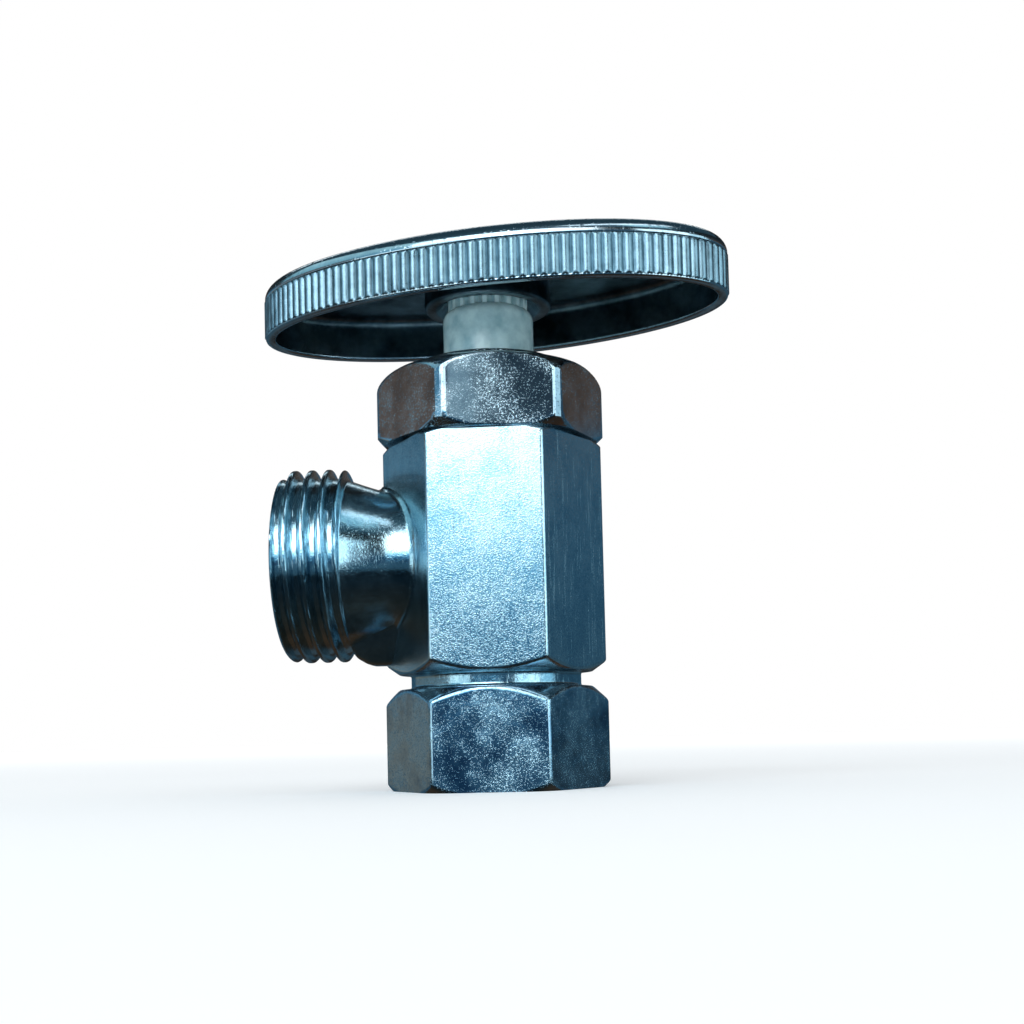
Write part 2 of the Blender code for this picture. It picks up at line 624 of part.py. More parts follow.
def flat_ring(name, inner, outer, bottom, top, edge, group):
    profile = [(inner, top), (outer - edge, top), (outer, top - edge), (outer, bottom + edge),
               (outer - edge, bottom), (inner, bottom)]
    return turned(name, profile, group, ring=True)


def make_packing(group):
    inner = STEM_RADIUS + RUNNING_GAP
    outer = PACKING_BORE_RADIUS - SEAT_GAP
    washer = flat_ring("packing_washer", inner, outer, STEP_TOP + SEAT_GAP, packing_washer_top(),
                       HARD_RING_EDGE, group)
    packing = flat_ring("stem_packing", inner, outer, packing_washer_top() + SEAT_GAP,
                        packing_top(), PACKING_EDGE, group)
    ring = flat_ring("friction_ring", inner, outer, packing_top() + SEAT_GAP,
                     friction_ring_top(), HARD_RING_EDGE, group)
    return washer, packing, ring


def make_swivel(group):
    washer_bottom = seat_washer_bottom()
    washer_top = washer_bottom + SEAT_WASHER_THICKNESS
    washer = turned("seat_washer", [(0, washer_top), (SEAT_WASHER_RADIUS, washer_top),
                                    (SEAT_WASHER_RADIUS, washer_bottom + SEAT_WASHER_EDGE),
                                    (SEAT_WASHER_RADIUS - SEAT_WASHER_EDGE, washer_bottom),
                                    (0, washer_bottom)], group)
    plate_bottom = holder_bottom()
    plate_top = plate_bottom + HOLDER_THICKNESS
    stud_top = plate_top + HOLDER_STUD_LENGTH
    stud = HOLDER_STUD_RADIUS
    barb = stud + HOLDER_BARB
    barb_top = stud_top - BARB_TOP_DROP
    rim_inner = SEAT_WASHER_RADIUS + SEAT_GAP
    holder = turned("washer_holder", [
        (0, stud_top), (stud - BARB_WIDTH, stud_top), (barb, barb_top), (barb, barb_top - BARB_WIDTH),
        (stud, stud_top - BARB_LENGTH), (stud, plate_top), (HOLDER_RADIUS - HOLDER_EDGE, plate_top),
        (HOLDER_RADIUS, plate_top - HOLDER_EDGE), (HOLDER_RADIUS, plate_bottom - HOLDER_LIP),
        (rim_inner, plate_bottom - HOLDER_LIP), (rim_inner, plate_bottom), (0, plate_bottom)], group)
    return washer, holder


def make_handle(group, cutters):
    a, b = HANDLE_HALF_LENGTH, HANDLE_HALF_WIDTH
    base = HANDLE_RIM_BOTTOM
    top = base + HANDLE_RIM_HEIGHT
    roof = top - HANDLE_ROOF
    under = KNURL_DEPTH + KNURL_UNDERCUT

    def ring(inset, height):
        return (a - inset, b - inset, height, 0.0)

    rings = [ring(RIM_EDGE_INSET, base), ring(RIM_INSET, base + RIM_INSET),
             ring(RIM_INSET, base + KNURL_BOTTOM), ring(under, base + KNURL_BOTTOM + FORM_MARGIN),
             ring(under, base + KNURL_TOP - FORM_MARGIN), ring(KNURL_SHOULDER_INSET, base + KNURL_TOP)]
    rings += [ring(inset, top - drop) for inset, drop in HANDLE_ROUNDING]
    share_a, share_b, rise = CROWN_MIDDLE
    rings += [(a * share_a, b * share_b, top + HANDLE_CROWN * rise, 0.0),
              (BOSS_RADIUS, BOSS_RADIUS, top + HANDLE_CROWN, 0.0)]
    shell = oval_loft("handle", rings, HANDLE_STEPS, group, closed=False)
    hollow = [ring(HANDLE_WALL - HOLLOW_FLARE, base - OVERCUT),
              ring(HANDLE_WALL, base + HOLLOW_FLARE)]
    hollow += [ring(HANDLE_WALL + inset, roof - drop) for inset, drop in HOLLOW_ROUNDING]
    cut(shell, oval_loft("handle_hollow", hollow, HANDLE_STEPS, cutters, closed=False))
    band = []
    for inset, height, dip in ((0.0, KNURL_BOTTOM, KNURL_DEPTH), (0.0, KNURL_TOP, KNURL_DEPTH),
                               (HANDLE_WALL * 0.6, KNURL_TOP, 0.0),
                               (HANDLE_WALL * 0.6, KNURL_BOTTOM, 0.0)):
        band.append((a - inset, b - inset, base + height, dip))
    join(shell, oval_loft("handle_knurl", band, 2 * KNURL_COUNT, cutters, closed=True))
    hub_bottom = base + HUB_BOTTOM
    hub = [(0, roof + HANDLE_ROOF / 2), (HUB_RADIUS + HUB_FILLET, roof + HANDLE_ROOF / 2),
           (HUB_RADIUS, roof - HUB_FILLET_DROP), (HUB_RADIUS, hub_bottom + HUB_EDGE),
           (HUB_RADIUS - HUB_EDGE, hub_bottom), (0, hub_bottom)]
    join(shell, turned("handle_hub", hub, cutters))
    spline_top = SPLINE_BOTTOM + SPLINE_LENGTH + SEAT_GAP
    cut(shell, splined_bar("handle_broach", SPLINE_CREST + SPLINE_GAP, SPLINE_ROOT + SPLINE_GAP,
                           SPLINE_COUNT, hub_bottom - OVERCUT, spline_top, cutters))
    cone = [(0, hub_bottom + HUB_CONE_RADIUS), (HUB_CONE_RADIUS, hub_bottom),
            (HUB_CONE_RADIUS, hub_bottom - OVERCUT), (0, hub_bottom - OVERCUT)]
    cut(shell, turned("handle_cone", cone, cutters))
    cut(shell, plain_bar("handle_screw_hole", SCREW_RADIUS + RUNNING_GAP, spline_top - OVERCUT,
                         screw_seat_height() + OVERCUT, cutters, 24))
    for name in ("handle", "handle_hollow", "handle_knurl"):
        bpy.data.objects[name].rotation_euler.z = HANDLE_TURN
    return shell


def make_screw(group, cutters):
    seat = screw_seat_height() + SEAT_GAP
    head = [(0, seat + SCREW_HEAD_HEIGHT)]
    for step in range(1, SCREW_HEAD_STEPS + 1):
        angle = math.pi / 2 * step / SCREW_HEAD_STEPS
        dome = SCREW_HEAD_EDGE + (1 - SCREW_HEAD_EDGE) * math.cos(angle)
        head.append((SCREW_HEAD_RADIUS * math.sin(angle), seat + SCREW_HEAD_HEIGHT * dome))
    end = seat - SCREW_LENGTH
    head += [(SCREW_HEAD_RADIUS, seat), (SCREW_RADIUS, seat), (SCREW_RADIUS, end + SCREW_POINT_LENGTH),
             (SCREW_RADIUS - SCREW_POINT_TAPER, end), (0, end)]
    screw = turned("handle_screw", head, group, 32)
    floor = seat + SCREW_HEAD_HEIGHT - SCREW_SLOT_DEPTH
    for name, length, width in (("slot_a", SCREW_SLOT_LENGTH, SCREW_SLOT_WIDTH),
                                ("slot_b", SCREW_SLOT_WIDTH, SCREW_SLOT_LENGTH)):
        cut(screw, box(name, (-length / 2, -width / 2, floor),
                       (length / 2, width / 2, seat + SCREW_HEAD_HEIGHT + OVERCUT), cutters))
    return screw


def main():
    clear_scene()
    group = make_collection("angle_stop_valve")
    cutters = make_collection("cutters")
    plated = make_material("plated_brass", (0.42, 0.54, 0.62), 0.28, 1.0)
    nut_chrome = make_material("nut_chrome", (0.46, 0.56, 0.62), 0.2, 1.0)
    handle_chrome = make_material("handle_chrome", (0.5, 0.58, 0.64), 0.12, 1.0)
    acetal = make_material("off_white_acetal", (0.62, 0.7, 0.68), 0.4, 0.0)
    rubber = make_material("packing_rubber", (0.03, 0.03, 0.03), 0.8, 0.0)
    washer_rubber = make_material("washer_rubber", (0.02, 0.02, 0.022), 0.7, 0.0)
    brass = make_material("brass", (0.6, 0.42, 0.18), 0.3, 1.0)
    holder_brass = make_material("holder_brass", (0.56, 0.4, 0.18), 0.35, 1.0)
    nylon = make_material("white_nylon", (0.75, 0.75, 0.72), 0.45, 0.0)
    steel = make_material("plated_steel", (0.55, 0.57, 0.6), 0.25, 1.0)
    washer, packing, ring = make_packing(group)
    seat_washer, holder = make_swivel(group)
    pieces = [(make_body(group, cutters), plated), (make_nut(group, cutters), nut_chrome),
              (make_stem(group, cutters), acetal), (make_handle(group, cutters), handle_chrome),
              (make_screw(group, cutters), steel), (washer, brass), (packing, rubber),
              (ring, nylon), (seat_washer, washer_rubber), (holder, holder_brass)]
    for item, material in pieces:
        finish(item, material)


main()
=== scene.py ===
import math

import bmesh
import bpy
import numpy as np
from mathutils import Matrix, Vector


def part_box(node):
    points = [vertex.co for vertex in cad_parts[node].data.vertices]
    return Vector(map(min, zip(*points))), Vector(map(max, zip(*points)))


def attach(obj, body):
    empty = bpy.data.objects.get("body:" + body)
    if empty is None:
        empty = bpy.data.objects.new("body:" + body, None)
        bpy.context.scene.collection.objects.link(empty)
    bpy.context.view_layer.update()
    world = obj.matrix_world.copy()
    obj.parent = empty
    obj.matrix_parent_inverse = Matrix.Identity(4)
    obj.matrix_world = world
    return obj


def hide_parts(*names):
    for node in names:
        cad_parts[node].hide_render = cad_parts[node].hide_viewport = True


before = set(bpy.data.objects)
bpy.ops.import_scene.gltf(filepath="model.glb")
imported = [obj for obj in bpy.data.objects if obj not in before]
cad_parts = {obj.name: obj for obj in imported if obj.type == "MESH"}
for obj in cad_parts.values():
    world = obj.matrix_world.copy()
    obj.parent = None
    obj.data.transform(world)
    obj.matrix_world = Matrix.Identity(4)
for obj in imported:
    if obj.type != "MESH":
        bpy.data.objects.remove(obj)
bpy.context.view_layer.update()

mm = 0.001


def hexColour(code):
    # sRGB hex to the linear values that a shader wants
    parts = [int(code[at:at + 2], 16) / 255 for at in (1, 3, 5)]
    return tuple(p / 12.92 if p <= 0.04045 else ((p + 0.055) / 1.055) ** 2.4 for p in parts) + (1.0,)


def addNode(tree, kind, inputs=None, **settings):
    node = tree.nodes.new("ShaderNode" + kind)
    for name, value in settings.items():
        setattr(node, name, value)
    for key, value in (inputs or {}).items():
        if isinstance(value, bpy.types.NodeSocket):
            tree.links.new(value, node.inputs[key])
        else:
            node.inputs[key].default_value = value
    return node


def perMm(size):
    # texture scale for features of this size in millimetres, in object coordinates (metres)
    return 1000.0 / size


def emptyMaterial(name):
    material = bpy.data.materials.new(name)
    material.use_nodes = True
    tree = material.node_tree
    tree.nodes.clear()
    return material, tree, addNode(tree, "OutputMaterial").inputs["Surface"]


def newMaterial(name):
    material, tree, surface = emptyMaterial(name)
    shader = addNode(tree, "BsdfPrincipled")
    tree.links.new(shader.outputs["BSDF"], surface)
    where = addNode(tree, "TexCoord").outputs["Object"]
    return material, tree, shader, where


def setRamp(node, stops):
    ramp = node.color_ramp
    while len(ramp.elements) < len(stops):
        ramp.elements.new(0.5)
    while len(ramp.elements) > len(stops):
        ramp.elements.remove(ramp.elements[-1])
    for element, (position, colour) in zip(ramp.elements, stops):
        element.position = position
        element.color = colour
    return node.outputs["Color"]


def grey(level):
    return (level, level, level, 1.0)


def smoothStep(low, high, value):
    t = np.clip((value - low) / (high - low), 0.0, 1.0)
    return t * t * (3 - 2 * t)


def smoothMin(a, b, width):
    h = np.clip(0.5 + 0.5 * (b - a) / width, 0.0, 1.0)
    return b * (1 - h) + a * h - width * h * (1 - h)


def newObject(name, data):
    piece = bpy.data.objects.new(name, data)
    bpy.context.scene.collection.objects.link(piece)
    return piece


def gridMesh(name, rows, loop, slots=None):
    # rows of points round an axis, from the bottom up the outside; loop joins the last row to the
    # first, otherwise each end closes on a point at its middle
    rows = np.asarray(rows, dtype=float)
    count, columns = rows.shape[:2]
    points = rows.reshape(-1, 3).tolist()
    faces = []
    marks = []
    last = count if loop else count - 1
    for i in range(last):
        below, above = i * columns, ((i + 1) % count) * columns
        for j in range(columns):
            k = (j + 1) % columns
            faces.append((below + j, below + k, above + k, above + j))
            marks.append(slots[i] if slots else 0)
    if not loop:
        for row, flip in ((0, True), (count - 1, False)):
            points.append(rows[row].mean(axis=0).tolist())
            middle, start = len(points) - 1, row * columns
            for j in range(columns):
                k = (j + 1) % columns
                faces.append((start + k, start + j, middle) if flip else (start + j, start + k, middle))
                marks.append(slots[row] if slots else 0)
    mesh = bpy.data.meshes.new(name)
    mesh.from_pydata(points, [], faces)
    mesh.polygons.foreach_set("material_index", marks)
    mesh.validate()
    return newObject(name, mesh)


def shade(piece, materials, angle):
    for material in materials:
        piece.data.materials.append(material)
    piece.data.shade_smooth()
    piece.data.set_sharp_from_angle(angle=math.radians(angle))


def applyBoolean(piece, tool, operation):
    modifier = piece.modifiers.new("cut", "BOOLEAN")
    modifier.object = tool
    modifier.operation = operation
    modifier.solver = "EXACT"
    graph = bpy.context.evaluated_depsgraph_get()
    mesh = bpy.data.meshes.new_from_object(piece.evaluated_get(graph))
    piece.modifiers.clear()
    piece.data = mesh
    bpy.data.objects.remove(tool, do_unlink=True)


def turnedRow(radius, height, angles):
    # radius may be one number or one for each angle; millimetres in, metres out
    radius = np.broadcast_to(radius, angles.shape)
    return np.stack([radius * np.cos(angles), radius * np.sin(angles),
                     np.full(angles.shape, height)], axis=1) * mm


def turnedRows(profile, angles):
    return [turnedRow(radius, height, angles) for height, radius in profile]


def hexAngles(turn):
    # columns packed closer to the six corners
    half = np.array([0, 0.3, 0.6, 1.0, 1.5, 2.1, 2.9, 4.0, 5.5, 7.5, 10, 13, 16.5, 20, 25])
    steps = np.concatenate([-half[:0:-1], half, [30.0]])
    return np.radians(np.concatenate([60 * k + steps for k in range(6)])) + turn


def hexRadius(angles, flats, rounding, turn):
    # distance from the axis to a hexagon with rounded corners; corners lie at turn + 60 k degrees
    apothem = flats / 2
    fromCorner = (angles - turn + math.pi / 6) % (math.pi / 3) - math.pi / 6
    fromFlat = math.pi / 6 - np.abs(fromCorner)
    flat = apothem / np.cos(fromFlat)
    centre = (apothem - rounding) / math.cos(math.pi / 6)
    inside = np.maximum(rounding ** 2 - (centre * np.sin(fromCorner)) ** 2, 0)
    rounded = centre * np.cos(fromCorner) + np.sqrt(inside)
    tangent = np.arctan((apothem - rounding) * math.tan(math.pi / 6) / apothem)
    return np.where(fromFlat < tangent, flat, np.minimum(flat, rounded))


def between(start, stop, count):
    # points of a straight stretch of a profile, its last point left to the next stretch
    return [tuple(p) for p in np.linspace(start, stop, count, endpoint=False)]


def arc(centre, radius, fromDegrees, toDegrees, count):
    turns = np.radians(np.linspace(fromDegrees, toDegrees, count))
    return [(centre[0] + radius * math.cos(t), centre[1] + radius * math.sin(t)) for t in turns]


def threadWave(phase, crestShare, flankShare):
    # 1 on the crest and 0 in the root, with rounded flanks; phase 0 is the middle of a crest
    away = np.abs((phase + 0.5) % 1.0 - 0.5)
    return 1 - smoothStep(crestShare / 2, crestShare / 2 + flankShare, away)


def addScratches(tree, where, turns, width, length, low, high):
    # thin cells drawn out along one direction each, so they read as drag marks
    marks = None
    for turn in turns:
        slanted = addNode(tree, "Mapping", {
            "Vector": where, "Rotation": (0.2 * turn, turn, 0.1),
            "Scale": (1 / width, 1 / width, 1 / length)})
        lines = addNode(tree, "TexNoise", {
            "Vector": slanted.outputs["Vector"], "Scale": 1000.0, "Detail": 1.0})
        sharp = addNode(tree, "MapRange", {
            "Value": lines.outputs["Fac"], "From Min": low, "From Max": high})
        if marks is None:
            marks = sharp.outputs["Result"]
        else:
            marks = addNode(tree, "Math", {
                0: marks, 1: sharp.outputs["Result"]}, operation="MAXIMUM").outputs["Value"]
    return marks


# Forged brass under nickel and chrome, knocked about in a toolbox: cool, cloudy flats with fine
# upright tool marks, tiny glints from pits, and a few drag marks. Where a lathe cut the outlet the
# same plating is brighter and smoother.
satinFlats = {"clear": "#cfe4ec", "cloudy": "#97bccd", "cloudSize": 6.0, "pit": 0.14, "grain": 0.12,
              "brushWidth": 0.07, "brushLength": 4.0, "scratchWidth": 0.08, "scratchLength": 8.0,
              "smooth": 0.1, "worn": 0.2, "glint": 0.24, "brush": 0.04, "cut": 0.3, "fine": 0.16,
              "speckle": 0.36}
turnedParts = {"clear": "#b6d4e0", "cloudy": "#86aabb", "cloudSize": 3.5, "pit": 0.3, "grain": 0.15,
               "brushWidth": 0.3, "brushLength": 0.3, "scratchWidth": 0.12, "scratchLength": 2.5,
               "smooth": 0.08, "worn": 0.19, "glint": 0.15, "brush": 0.0, "cut": 0.35, "fine": 0.1,
               "speckle": 0.15}


def makePlatedBrass(name, look):
    material, tree, shader, where = newMaterial(name)
    cloud = addNode(tree, "TexNoise", {
        "Vector": where, "Scale": perMm(look["cloudSize"]), "Detail": 6.0, "Roughness": 0.65})
    pits = addNode(tree, "TexNoise", {
        "Vector": where, "Scale": perMm(look["pit"]), "Detail": 2.0, "Roughness": 0.6})
    grain = addNode(tree, "TexNoise", {
        "Vector": where, "Scale": perMm(look["grain"]), "Detail": 1.0})
    brushed = addScratches(tree, where, (0.0, 0.06), look["brushWidth"], look["brushLength"], 0.4, 0.75)
    scratches = addScratches(tree, where, (0.5, 1.2, -0.8), look["scratchWidth"],
                             look["scratchLength"], 0.71, 0.78)
    speckle = addNode(tree, "MapRange", {
        "Value": pits.outputs["Fac"], "From Min": 0.3, "From Max": 0.7,
        "To Min": -look["speckle"] / 2, "To Max": look["speckle"] / 2})
    grimy = addNode(tree, "Math", {
        0: cloud.outputs["Fac"], 1: speckle.outputs["Result"]}, operation="ADD")
    tone = setRamp(addNode(tree, "ValToRGB", {
        "Fac": grimy.outputs["Value"]}), [(0.3, hexColour(look["cloudy"])), (0.6,
        hexColour(look["clear"]))])
    tree.links.new(tone, shader.inputs["Base Color"])
    shader.inputs["Metallic"].default_value = 1.0
    worn = addNode(tree, "MapRange", {
        "Value": cloud.outputs["Fac"], "From Min": 0.3, "From Max": 0.7, "To Min": look["smooth"],
        "To Max": look["worn"]})
    streaked = addNode(tree, "Math", {0: brushed, 1: 0.06}, operation="MULTIPLY")
    rough = addNode(tree, "Math", {
        0: worn.outputs["Result"], 1: streaked.outputs["Value"]}, operation="ADD")
    tree.links.new(rough.outputs["Value"], shader.inputs["Roughness"])
    sparse = addNode(tree, "MapRange", {
        "Value": pits.outputs["Fac"], "From Min": 0.5, "From Max": 0.75})
    # marks, strength, height in mm, and whether they are cut into the metal
    layers = [(sparse.outputs["Result"], look["glint"], 0.035, False),
              (brushed, look["brush"], 0.012, False),
              (scratches, look["cut"], 0.03, True),
              (grain.outputs["Fac"], look["fine"], 0.02, False)]
    normal = {}
    for marks, strength, height, cutIn in layers:
        bump = addNode(tree, "Bump", {
            "Height": marks, "Strength": strength, "Distance": height * mm, **normal}, invert=cutIn)
        normal = {"Normal": bump.outputs["Normal"]}
    tree.links.new(normal["Normal"], shader.inputs["Normal"])
    return material


def makeFinish(name, look):
    # one noise sets tone and roughness; the bumps lie over each other, each with its own grain, and
    # a bump's onset may follow the first noise, so that its marks crowd together in places
    material, tree, shader, where = newMaterial(name)
    size, detail, fineness = look["patch"]
    patch = addNode(tree, "TexNoise", {
        "Vector": where, "Scale": perMm(size), "Detail": detail,
        "Roughness": fineness}).outputs["Fac"]
    tone = setRamp(addNode(tree, "ValToRGB", {
        "Fac": patch}), [(share, hexColour(code)) for share, code in look["tones"]])
    tree.links.new(tone, shader.inputs["Base Color"])
    shader.inputs["Metallic"].default_value = look["metallic"]
    if isinstance(look["rough"], float):
        shader.inputs["Roughness"].default_value = look["rough"]
    else:
        low, high, smooth, worn = look["rough"]
        rough = addNode(tree, "MapRange", {
            "Value": patch, "From Min": low, "From Max": high, "To Min": smooth, "To Max": worn})
        tree.links.new(rough.outputs["Result"], shader.inputs["Roughness"])
    normal = {}
    for size, detail, fineness, onset, strength, height in look["bumps"]:
        grain = addNode(tree, "TexNoise", {
            "Vector": where, "Scale": perMm(size), "Detail": detail, "Roughness": fineness})
        marks = grain.outputs["Fac"]
        if onset:
            rare, few, full = onset
            if rare != few:
                crowd = addNode(tree, "MapRange", {
                    "Value": patch, "From Min": 0.4, "From Max": 0.6, "To Min": rare,
                    "To Max": few})
                few = crowd.outputs["Result"]
            marks = addNode(tree, "MapRange", {
                "Value": marks, "From Min": few, "From Max": full}).outputs["Result"]
        bump = addNode(tree, "Bump", {
            "Height": marks, "Strength": strength, "Distance": height * mm, **normal})
        normal = {"Normal": bump.outputs["Normal"]}
    tree.links.new(normal["Normal"], shader.inputs["Normal"])
    return material


# Looks for makeFinish. patch: mm, detail, fineness. rough: one number, or the levels of the patch
# noise from and to and the roughness at each. bumps: mm, detail, fineness, onset (rarest, densest,
# full) or None, strength, height in mm.

# Chrome over a coarse casting: a hard mirror whose scattered pits catch the light as sparkles.
nutChrome = {"patch": (4.0, 4.0, 0.6), "tones": [(0.35, "#96a9b6"), (0.6, "#c4d6e0")], "metallic": 1.0,
             "rough": (0.35, 0.65, 0.06, 0.13),
             "bumps": [(3.0, 2.0, 0.5, None, 0.1, 0.12),
                       (0.17, 2.0, 0.6, (0.63, 0.55, 0.74), 0.6, 0.05)]}
inletHexChrome = {"patch": (5.0, 4.0, 0.6), "tones": [(0.35, "#7292ab"), (0.6, "#b6d6e6")],
                  "metallic": 1.0, "rough": (0.35, 0.65, 0.08, 0.24),
                  "bumps": [(2.2, 2.0, 0.5, None, 0.4, 0.12),
                            (0.14, 2.0, 0.6, (0.64, 0.55, 0.74), 0.5, 0.05)]}

# Bright chrome on a zinc die casting: nearly a mirror, slightly wavy, with a haze of fine wear.
handleChrome = {"patch": (2.5, 5.0, 0.65), "tones": [(0.4, "#c8d6de"), (0.7, "#a3b6c1")],
                "metallic": 1.0, "rough": (0.3, 0.75, 0.07, 0.22),
                "bumps": [(5.0, 2.0, 0.5, None, 0.25, 0.15),
                          (0.35, 2.0, 0.5, (0.6, 0.6, 0.75), 0.4, 0.03)]}

# The flutes of the grip under the same chrome, never buffed: satin, so every flute shows its round; its
# tones, darker than the handle's bright chrome, are painted shade.
shadedFluteChrome = {"patch": (1.6, 4.0, 0.6), "tones": [(0.38, "#728c98"), (0.6, "#8ca9b7")],
               "metallic": 1.0, "rough": (0.3, 0.7, 0.26, 0.4),
               "bumps": [(0.18, 2.0, 0.5, None, 0.4, 0.04)]}

# The inside of the same casting, thin plating over die-cast skin; its dark tones are painted shade for
# the hollow under the handle.
shadedCastInside = {"patch": (5.0, 5.0, 0.6), "tones": [(0.38, "#5c6b72"), (0.66, "#a6b6bd")],
              "metallic": 1.0, "rough": 0.28,
              "bumps": [(0.5, 3.0, 0.5, None, 0.35, 0.08)]}

# Acetal rod, turned and moulded: waxy off-white, faintly see-through, its gloss a little uneven.
stemAcetal = {"patch": (1.8, 3.0, 0.5), "tones": [(0.3, "#9ac6d1"), (0.6, "#c6eaf0")],
              "metallic": 0.0, "rough": 0.13,
              "bumps": [(0.7, 3.0, 0.5, None, 0.5, 0.09)]}


def makeAcetal(name):
    # faint tool rings and light that soaks in a little
    material = makeFinish(name, stemAcetal)
    tree = material.node_tree
    shader = next(node for node in tree.nodes if node.type == "BSDF_PRINCIPLED")
    where = next(node for node in tree.nodes if node.type == "TEX_COORD").outputs["Object"]
    shader.inputs["Subsurface Weight"].default_value = 0.4
    shader.inputs["Subsurface Radius"].default_value = (1.0, 0.9, 0.8)
    shader.inputs["Subsurface Scale"].default_value = 1.2 * mm
    # a wave texture runs through 20 radians in a unit; at 0.35 mm a radian a ring comes every 2.2 mm
    rings = addNode(tree, "TexWave", {
        "Vector": where, "Scale": perMm(0.35) / 20, "Distortion": 0.6, "Detail": 1.0},
        bands_direction="Z")
    uneven = shader.inputs["Normal"].links[0].from_socket
    bump = addNode(tree, "Bump", {
        "Height": rings.outputs["Fac"], "Strength": 0.08, "Distance": 0.02 * mm, "Normal": uneven})
    tree.links.new(bump.outputs["Normal"], shader.inputs["Normal"])
    return material


# Plain cast or moulded finishes: light and dark tone, metallic, roughness, grain in mm, its height.
plainFinishes = {
    "nickelPlatedSteel": ("#c2c4c4", "#a2a6a8", 1.0, 0.22, 0.5, 0.02),
    "machinedBrass": ("#c9a055", "#ad8440", 1.0, 0.3, 0.4, 0.02),
    "packingRubber": ("#26262a", "#19191b", 0.0, 0.7, 0.3, 0.03),
    "whiteNylon": ("#dedcd2", "#c9c6ba", 0.0, 0.45, 0.5, 0.02),
    "washerRubber": ("#202022", "#151516", 0.0, 0.75, 0.3, 0.03),
    "pressedBrass": ("#bf9850", "#a17a3a", 1.0, 0.34, 0.5, 0.02)}


def makePlainFinish(name):
    light, dark, metallic, roughness, grain, height = plainFinishes[name]
    return makeFinish(name, {"patch": (grain * 5, 4.0, 0.6), "tones": [(0.35, dark), (0.65, light)],
                             "metallic": metallic, "rough": roughness,
                             "bumps": [(grain, 3.0, 0.5, None, 0.3, height)]})


valveBody = {"inletFlats": 20.64, "inletRounding": 0.6, "inletTop": 9.08, "inletCut": 12.05,
             "grooveRadius": 9.0, "grooveBottom": 10.6, "grooveTop": 12.2, "grooveFillet": 0.3,
             "shoulder": 10.25, "baseRadius": 11.15, "baseChamfer": 0.85, "baseCut": 12.1,
             "flats": 20.36, "rounding": 0.45, "hexBottom": 13.2, "hexTop": 36.4, "hexCut": 12.0,
             "topCut": 11.95, "topRadius": 11.2, "clear": 12.2, "spigot": 9.15, "spigotEdge": 0.5,
             "packingBore": 7.2, "step": 37.9, "threadBore": 6.05, "chamber": 6.7,
             "chamberTop": 30.2, "seatTop": 17.2, "seatLip": 0.7, "seatOuter": 4.6, "seatBore": 3.6,
             "seatFloor": 14.2, "inletBore": 6.9, "inletCrest": 7.55, "inletRoot": 8.45,
             "inletPitch": 1.411, "inletDepth": 9.4, "mouth": 8.85, "edgeBlend": 0.3}


def outerProfile(size, top):
    # (height, radius) from the mouth up to the top of the spigot; where the radius is clear of the
    # corners, the hexagon alone gives the shape
    clear, shoulder, groove = size["clear"], size["shoulder"], size["grooveRadius"]
    foot, head, fillet = size["grooveBottom"], size["grooveTop"], size["grooveFillet"]
    chamfer, inletTop = size["baseChamfer"], size["inletTop"] - 0.15
    hexBottom, hexTop = size["hexBottom"] + 0.25, size["hexTop"]
    spigot, edge = size["spigot"], size["spigotEdge"]
    return [
        *between((0, size["mouth"] + 0.1), (0, size["baseRadius"]), 5),
        *between((0, size["baseRadius"]), (chamfer, size["baseCut"]), 10),
        *between((chamfer, clear), (inletTop, clear), 12),
        *between((inletTop, size["inletCut"]), (foot, shoulder), 16),
        *arc((foot - 0.05, shoulder - 0.05), 0.05, 90, 0, 3),
        *between((foot, shoulder - 0.1), (foot + 0.05, groove + fillet), 4),
        *arc((foot + 0.35, groove + fillet), fillet, 180, 270, 5),
        *between((foot + 0.4, groove), (head - 0.4, groove), 4),
        *arc((head - 0.35, groove + fillet), fillet, 270, 360, 5),
        *between((head, groove + 0.35), (head, shoulder - 0.1), 3),
        *between((head + 0.03, shoulder), (hexBottom, size["hexCut"]), 14),
        *between((hexBottom, clear), (hexTop - 0.4, clear), 26),
        *between((hexTop - 0.4, size["topCut"]), (hexTop, size["topRadius"]), 6),
        *between((hexTop, size["topRadius"]), (hexTop, spigot + 0.1), 5),
        *between((hexTop + 0.05, spigot), (top - edge, spigot), 6),
        *between((top - edge, spigot), (top, spigot - edge), 3)]


def innerProfile(size, top):
    # from the top of the spigot down through the chamber and the seat to the inlet's thread
    packing, thread, chamber = size["packingBore"], size["threadBore"], size["chamber"]
    step, roof, inlet = size["step"], size["chamberTop"], size["inletBore"]
    seat, outer, bore, floor = size["seatTop"], size["seatOuter"], size["seatBore"], size["seatFloor"]
    lipFoot = seat - size["seatLip"]
    return [
        *between((top, size["spigot"] - size["spigotEdge"]), (top, packing), 3),
        *between((top, packing), (step, packing), 5),
        *between((step, packing), (step, thread), 2),
        *between((step, thread), (roof, thread), 5),
        *between((roof, thread), (roof, chamber), 2),
        *between((roof, chamber), (lipFoot, chamber), 12),
        *between((lipFoot, chamber), (lipFoot, outer), 3),
        *between((lipFoot, outer), (seat - 0.15, outer), 2),
        *between((seat, outer - 0.15), (seat, bore + 0.1), 2),
        *between((seat - 0.1, bore), (floor + 0.2, bore), 4),
        *between((floor, bore + 0.2), (floor, inlet - 0.3), 4),
        *arc((floor - 0.3, inlet - 0.3), 0.3, 0, 90, 4),
        *between((floor - 0.4, inlet), (size["inletDepth"] + 0.6, inlet), 4)]


